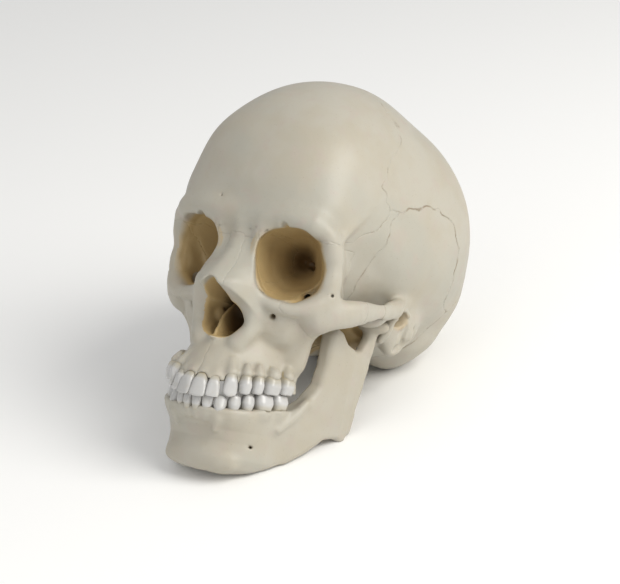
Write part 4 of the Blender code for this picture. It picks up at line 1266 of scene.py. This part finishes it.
def drop_crumbs(thing: bpy.types.Object) -> None:
    """Delete the separate scraps of a piece that have too few corners to be part of a bone.

    Args:
        thing: the piece.
    """
    mesh = thing.data
    count = len(mesh.vertices)
    edges = np.empty(len(mesh.edges) * 2, np.int64)
    mesh.edges.foreach_get("vertices", edges)
    a, b = edges.reshape(-1, 2).T
    label = np.arange(count)
    while True:
        lower = np.minimum(label[a], label[b])
        new = label.copy()
        np.minimum.at(new, a, lower)
        np.minimum.at(new, b, lower)
        new = new[new]
        if (new == label).all():
            break
        label = new
    sizes = np.bincount(label, minlength=count)
    keep = sizes[label] >= CRUMB
    if keep.all():
        return
    body = bmesh.new()
    body.from_mesh(mesh)
    body.verts.ensure_lookup_table()
    bmesh.ops.delete(body, geom=[body.verts[i] for i in np.nonzero(~keep)[0]], context="VERTS")
    body.to_mesh(mesh)
    body.free()


@dataclass
class Mandible:
    """The lower jaw as a piece, with its teeth's sockets."""

    jaw: LowerJaw = field(default_factory=LowerJaw)

    def make(self, teeth: ToothRow) -> bpy.types.Object:
        """The jaw as one closed piece.

        Args:
            teeth: the lower row.

        Returns:
            The piece.
        """
        c = Clay(CLAY_STEP)
        self.jaw.shape(c)
        self.jaw.details(c)
        teeth.set_in(c)
        c.mirror()
        c.swell(Grain(14.0, 21), 0.26)
        c.swell(Grain(5.0, 22), 0.14)
        c.swell(Grain(2.6, 23), 0.07)
        c.flatten_low()
        # how shut in each place is, which sets the dust and painted shade of hollows
        hollow, hollow_axes = c.hollowness()
        low = np.array([axis[0] for axis in c.axes])
        piece, points = bone_piece("mandible", c.field, low, c.step)
        none = np.zeros(len(points))
        give_layers(piece, hollow=sampled(hollow, hollow_axes, points), deep=none, seam=none)
        return piece


def linear(colour: str) -> tuple[float, float, float, float]:
    """An sRGB hex colour as linear red, green, blue and alpha."""
    parts = [int(colour[i:i + 2], 16) / 255 for i in (1, 3, 5)]
    return (*(p / 12.92 if p <= 0.04045 else ((p + 0.055) / 1.055) ** 2.4 for p in parts), 1.0)


def node(tree: bpy.types.NodeTree, kind: str, links: dict | None = None,
         **settings: object) -> bpy.types.Node:
    """Add a node with its settings and links.

    Args:
        tree: the material's tree.
        kind: Blender's name of the node.
        links: input name or number to an output socket, or to a fixed value.
        settings: attributes of the node.

    Returns:
        The node.
    """
    made = tree.nodes.new(kind)
    for name, value in settings.items():
        setattr(made, name, value)
    for name, value in (links or {}).items():
        socket = made.inputs[name]
        if isinstance(value, bpy.types.NodeSocket):
            tree.links.new(value, socket)
        else:
            socket.default_value = value
    return made


def ramp(tree: bpy.types.NodeTree, value: bpy.types.NodeSocket, low: float, high: float,
         most: float = 1.0) -> bpy.types.NodeSocket:
    """A soft step of a value from 0 at low to most at high.

    Args:
        tree: the material's tree.
        value: the value.
        low: where the step starts.
        high: where it ends.
        most: its height.

    Returns:
        The step's socket.
    """
    ends = {"Value": value, "From Min": low, "From Max": high, "To Max": most}
    made = node(tree, "ShaderNodeMapRange", ends, interpolation_type="SMOOTHSTEP", clamp=True)
    return made.outputs["Result"]


def mixed(tree: bpy.types.NodeTree, share: bpy.types.NodeSocket | float, first: object, second: object,
          blend: str = "MIX") -> bpy.types.NodeSocket:
    """One colour mixed into another by a share.

    Args:
        tree: the material's tree.
        share: of the second colour.
        first: the colour below.
        second: the colour on top.
        blend: Blender's name for the way they mix.

    Returns:
        The mixed colour's socket.
    """
    # inputs 6 and 7 and output 2 of this node are its colours
    made = node(tree, "ShaderNodeMix", {0: share, 6: first, 7: second}, data_type="RGBA", blend_type=blend)
    return made.outputs[2]


@dataclass(frozen=True)
class DryBone:
    """Cleaned dry bone: compact bone, degreased and bleached, with a dull natural polish.

    It gives the eye a soft sheen without a clear highlight, faint warm and cool mottling and fine pores,
    brown dust with painted shade in hollows, brown painted shade deep in the sockets, and browner stains of
    dust and damp along the sutures.
    """

    light: str = "#B0AB9E"
    warm: str = "#ADA696"
    cool: str = "#A9A69A"
    pink: str = "#AFA398"
    # brown of dust together with painted shade in the hollows, also used for the pores
    hollow: str = "#786645"
    # painted shade, tan, at the mouths of the eye sockets, nose and ear hole and under the back of the upper
    # jaw
    socket: str = "#B49B6B"
    # painted shade, near black brown, deep inside the eye sockets and nose
    cave_deep_shade: str = "#5E4218"
    suture: str = "#75634A"
    roughness: float = 0.46
    ior: float = 1.55
    mottle_mm: float = 26.0
    blush_mm: float = 48.0
    pore_mm: float = 0.9
    grain_mm: float = 2.4

    def make(self) -> bpy.types.Material:
        """The material, reading the layers that the bones carry."""
        material = bpy.data.materials.new("dry_bone")
        material.use_nodes = True
        tree = material.node_tree
        shader = tree.nodes["Principled BSDF"]
        place = node(tree, "ShaderNodeTexCoord").outputs["Object"]
        hollow, deep, seam = (node(tree, "ShaderNodeAttribute", attribute_name=name).outputs["Fac"]
                              for name in ("hollow", "deep", "seam"))

        def swell(size: float, detail: float, offset: float = 0.0) -> bpy.types.NodeSocket:
            """Noise of a size in mm, read at its own place by an offset."""
            moved = node(tree, "ShaderNodeMapping", {"Vector": place, "Location": (offset, offset, 0)})
            return node(tree, "ShaderNodeTexNoise", {"Vector": moved.outputs[0], "Scale": 1000.0 / size,
                                                     "Detail": detail, "Roughness": 0.55}).outputs["Fac"]

        mottle, blush = swell(self.mottle_mm, 3.0), swell(self.blush_mm, 2.0, 0.31)
        spots = swell(9.0, 4.0, 0.17)
        colour = mixed(tree, ramp(tree, mottle, 0.38, 0.66), linear(self.light), linear(self.warm))
        colour = mixed(tree, ramp(tree, blush, 0.45, 0.68, 0.8), colour, linear(self.cool))
        colour = mixed(tree, ramp(tree, spots, 0.52, 0.70, 0.45), colour, linear(self.pink))
        # dust and painted shade: the more shut in a place is, the browner and darker it is painted
        colour = mixed(tree, ramp(tree, hollow, 0.56, 0.86, 0.78), colour, linear(self.hollow))
        # painted shade in the caves: tan near the mouth, near black brown deep inside
        inside = mixed(tree, ramp(tree, deep, 30.0, 45.0), linear(self.socket), linear(self.cave_deep_shade))
        colour = mixed(tree, ramp(tree, deep, 1.6, 7.0, 0.92), colour, inside)
        broken = ramp(tree, swell(9.0, 3.0, 0.53), 0.44, 0.62)
        line = node(tree, "ShaderNodeMath", {0: ramp(tree, seam, 0.10, 0.90, 0.75), 1: broken},
                    operation="MULTIPLY")
        colour = mixed(tree, line.outputs[0], colour, linear(self.suture))
        pores = ramp(tree, swell(self.pore_mm, 1.0, 0.07), 0.66, 0.80, 0.22)
        colour = mixed(tree, pores, colour, linear(self.hollow))
        tree.links.new(colour, shader.inputs["Base Color"])
        shader.inputs["Roughness"].default_value = self.roughness
        shader.inputs["IOR"].default_value = self.ior
        shader.inputs["Specular IOR Level"].default_value = 0.4
        shader.inputs["Subsurface Weight"].default_value = 0.12
        shader.inputs["Subsurface Radius"].default_value = (1.0, 0.75, 0.5)
        shader.inputs["Subsurface Scale"].default_value = 0.0025
        grain = node(tree, "ShaderNodeBump", {"Height": swell(self.grain_mm, 4.0, 0.11), "Strength": 0.10,
                                              "Distance": 0.0006})
        fine = node(tree, "ShaderNodeBump", {"Height": swell(self.pore_mm, 2.0, 0.07), "Strength": 0.06,
                                             "Distance": 0.0003, "Normal": grain.outputs[0]})
        tree.links.new(fine.outputs[0], shader.inputs["Normal"])
        return material


@dataclass(frozen=True)
class Enamel:
    """Clean tooth enamel: hard, glossy and a cool white, with ivory roots under the necks.

    It gives the eye small bright highlights on the crowns, a colder white than the bone beside
    them, and a yellower, duller band where crown turns into root.
    """

    crown: str = "#BEBDBB"
    crown_shade: str = "#B3B2AF"
    neck: str = "#ADA796"
    root: str = "#A6997B"
    roughness: float = 0.28
    ior: float = 1.62
    streak_mm: float = 3.5

    def make(self) -> bpy.types.Material:
        """The material, reading the layers that the teeth carry."""
        material = bpy.data.materials.new("enamel")
        material.use_nodes = True
        tree = material.node_tree
        shader = tree.nodes["Principled BSDF"]
        place = node(tree, "ShaderNodeTexCoord").outputs["Object"]
        crown, tone = (node(tree, "ShaderNodeAttribute", attribute_name=name).outputs["Fac"]
                       for name in ("crown", "tone"))
        streak = node(tree, "ShaderNodeTexNoise", {"Vector": place, "Scale": 1000.0 / self.streak_mm,
                                                   "Detail": 3.0})
        colour = mixed(tree, ramp(tree, tone, 0.0, 1.0, 0.8), linear(self.crown), linear(self.crown_shade))
        colour = mixed(tree, ramp(tree, streak.outputs["Fac"], 0.5, 0.7, 0.25), colour, linear(self.neck))
        colour = mixed(tree, ramp(tree, crown, 2.6, 0.6, 0.75), colour, linear(self.neck))
        colour = mixed(tree, ramp(tree, crown, 0.4, -2.0), colour, linear(self.root))
        tree.links.new(colour, shader.inputs["Base Color"])
        shader.inputs["Roughness"].default_value = self.roughness
        shader.inputs["IOR"].default_value = self.ior
        shader.inputs["Subsurface Weight"].default_value = 0.15
        shader.inputs["Subsurface Radius"].default_value = (1.0, 0.9, 0.8)
        shader.inputs["Subsurface Scale"].default_value = 0.0015
        bump = node(tree, "ShaderNodeBump", {"Height": streak.outputs["Fac"], "Strength": 0.05,
                                             "Distance": 0.0004})
        tree.links.new(bump.outputs[0], shader.inputs["Normal"])
        return material


@dataclass(frozen=True)
class PaleBoard:
    """Matt white board, sprayed: the studio's floor.

    It gives the eye an even pale ground with a soft shadow and no reflection.
    """

    colour: str = "#FBFBFA"
    roughness: float = 0.9

    def make(self) -> bpy.types.Material:
        """The material."""
        material = bpy.data.materials.new("pale_board")
        material.use_nodes = True
        shader = material.node_tree.nodes["Principled BSDF"]
        shader.inputs["Base Color"].default_value = linear(self.colour)
        shader.inputs["Roughness"].default_value = self.roughness
        shader.inputs["Specular IOR Level"].default_value = 0.1
        return material


@dataclass
class Studio:
    """Camera, lights and floor."""

    # the camera in the level skull's frame: turn to the skull's left, lift and roll in degrees
    turn: float = 32.3
    lift: float = -2.54
    roll: float = 10.86
    away: float = 0.9986
    lens: float = 108.0
    aim: tuple[float, float, float] = (0.0, -0.010, 0.010)
    offset: tuple[float, float] = (-0.0016, 0.0021)
    floor_size: float = 14.0
    # strength of the pale surround, and the lamps' power in watts
    surround: float = 0.56
    main_power: float = 25.0
    fill_power: float = 4.0

    def camera(self) -> bpy.types.Object:
        """The camera at the photograph's viewing angle.

        Returns:
            The camera.
        """
        turn, lift, roll = (math.radians(v) for v in (self.turn, self.lift, self.roll))
        back = Vector((math.sin(turn) * math.cos(lift), -math.cos(turn) * math.cos(lift), math.sin(lift)))
        right = Vector((math.cos(turn), math.sin(turn), 0.0))
        up = back.cross(right)
        right, up = (right * math.cos(roll) + up * math.sin(roll),
                     up * math.cos(roll) - right * math.sin(roll))
        centre = Vector(self.aim) - right * self.offset[0] - up * self.offset[1]
        place = Matrix((right, up, back)).transposed().to_4x4()
        place.translation = centre + back * self.away
        data = bpy.data.cameras.new("camera")
        data.sensor_width = 36.0
        data.lens = self.lens
        data.clip_end = 50.0
        thing = bpy.data.objects.new("camera", data)
        thing.matrix_world = rest_matrix() @ place
        bpy.context.scene.collection.objects.link(thing)
        bpy.context.scene.camera = thing
        return thing

    def lamp(self, name: str, place: tuple[float, float, float], size: float, power: float,
             colour: str) -> None:
        """A square soft light aimed at the skull.

        Args:
            name: object name.
            place: where it stands, in metres.
            size: its side in metres.
            power: in watts.
            colour: sRGB hex.
        """
        data = bpy.data.lights.new(name, "AREA")
        data.shape = "SQUARE"
        data.size = size
        data.energy = power
        data.color = linear(colour)[:3]
        thing = bpy.data.objects.new(name, data)
        thing.location = place
        aim = Vector((0.0, 0.0, 0.09)) - thing.location
        thing.rotation_euler = aim.to_track_quat("-Z", "Y").to_euler()
        bpy.context.scene.collection.objects.link(thing)

    def floor(self) -> bpy.types.Object:
        """A plain pale floor that runs out of view."""
        half = self.floor_size / 2
        data = bpy.data.meshes.new("floor")
        corners = [(-half, -half, 0), (half, -half, 0), (half, half, 0), (-half, half, 0)]
        data.from_pydata(corners, [], [(0, 1, 2, 3)])
        data.materials.append(PaleBoard().make())
        thing = bpy.data.objects.new("floor", data)
        bpy.context.scene.collection.objects.link(thing)
        return thing

    def light_up(self) -> None:
        """Large soft lights, the main one high on the right of the camera, and a pale surround."""
        world = bpy.data.worlds.new("surround")
        world.use_nodes = True
        world.node_tree.nodes["Background"].inputs["Color"].default_value = linear("#FFFFFF")
        world.node_tree.nodes["Background"].inputs["Strength"].default_value = self.surround
        bpy.context.scene.world = world
        self.lamp("main_light", (1.35, 0.05, 1.15), 1.1, self.main_power, "#FFFDF8")
        self.lamp("fill_light", (0.1, -1.6, 1.0), 1.4, self.fill_power, "#FBFCFF")
        scene = bpy.context.scene
        scene.view_settings.view_transform = "Standard"
        scene.view_settings.look = "None"
        scene.view_settings.exposure = 0.0
        scene.view_settings.gamma = 1.0


def upper_row() -> ToothRow:
    """The upper teeth."""
    return ToothRow(Row.UPPER, 31.0, 50.0, 49.5, [
        ToothSizes(Kind.INCISOR, 8.4, 7.0, 10.8, 27.0, -2.9, 3.6),
        ToothSizes(Kind.INCISOR, 6.8, 6.0, 10.0, 24.0, -2.6, 3.6, 1.2),
        ToothSizes(Kind.CANINE, 7.4, 7.8, 10.8, 16.0, -2.0, 4.0),
        ToothSizes(Kind.PREMOLAR, 6.5, 8.6, 8.8, 3.0, -0.4, 6.5),
        ToothSizes(Kind.PREMOLAR, 6.4, 8.6, 8.4, 2.0, -0.2, 6.5),
        ToothSizes(Kind.MOLAR, 9.4, 10.2, 7.8, -2.0, -0.1, 6.5),
        ToothSizes(Kind.MOLAR, 8.8, 10.2, 7.4, -4.0, 0.0, 6.5)])


def lower_row() -> ToothRow:
    """The lower teeth."""
    return ToothRow(Row.LOWER, 28.6, 45.8, 50.0, [
        ToothSizes(Kind.INCISOR, 5.2, 5.8, 9.0, 14.0, -0.6, 5),
        ToothSizes(Kind.INCISOR, 5.7, 6.0, 9.2, 14.0, -0.4, 5),
        ToothSizes(Kind.CANINE, 6.6, 7.2, 10.0, 8.0, 0.8, 6),
        ToothSizes(Kind.PREMOLAR, 6.6, 7.4, 8.8, 2.0, 0.5, 6.5),
        ToothSizes(Kind.PREMOLAR, 6.8, 7.6, 8.2, -2.0, 0.4, 6.5),
        ToothSizes(Kind.MOLAR, 10.2, 9.6, 7.6, -6.0, 0.3, 6.5),
        ToothSizes(Kind.MOLAR, 9.6, 9.4, 7.2, -8.0, 0.4, 6.5)])


def main() -> None:
    """Load the frame, build every piece around it, and light it."""
    logging.basicConfig(level=logging.INFO, format="%(message)s")
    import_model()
    studio = Studio()
    studio.camera()
    studio.light_up()
    studio.floor()

    bone, enamel = DryBone().make(), Enamel().make()
    upper, lower = upper_row(), lower_row()
    pieces = Cranium().make(upper)
    pieces.append(Mandible().make(lower))
    for piece in pieces:
        piece.data.materials.append(bone)
        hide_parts(piece.name.removeprefix("bone_"))
    for row in (upper, lower):
        piece = row.make()
        piece.data.materials.append(enamel)
        LOG.info("%s: %d faces", piece.name, len(piece.data.polygons))
        pieces.append(piece)
    for piece in pieces:
        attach(piece, "root")


if __name__ == "__main__":
    main()
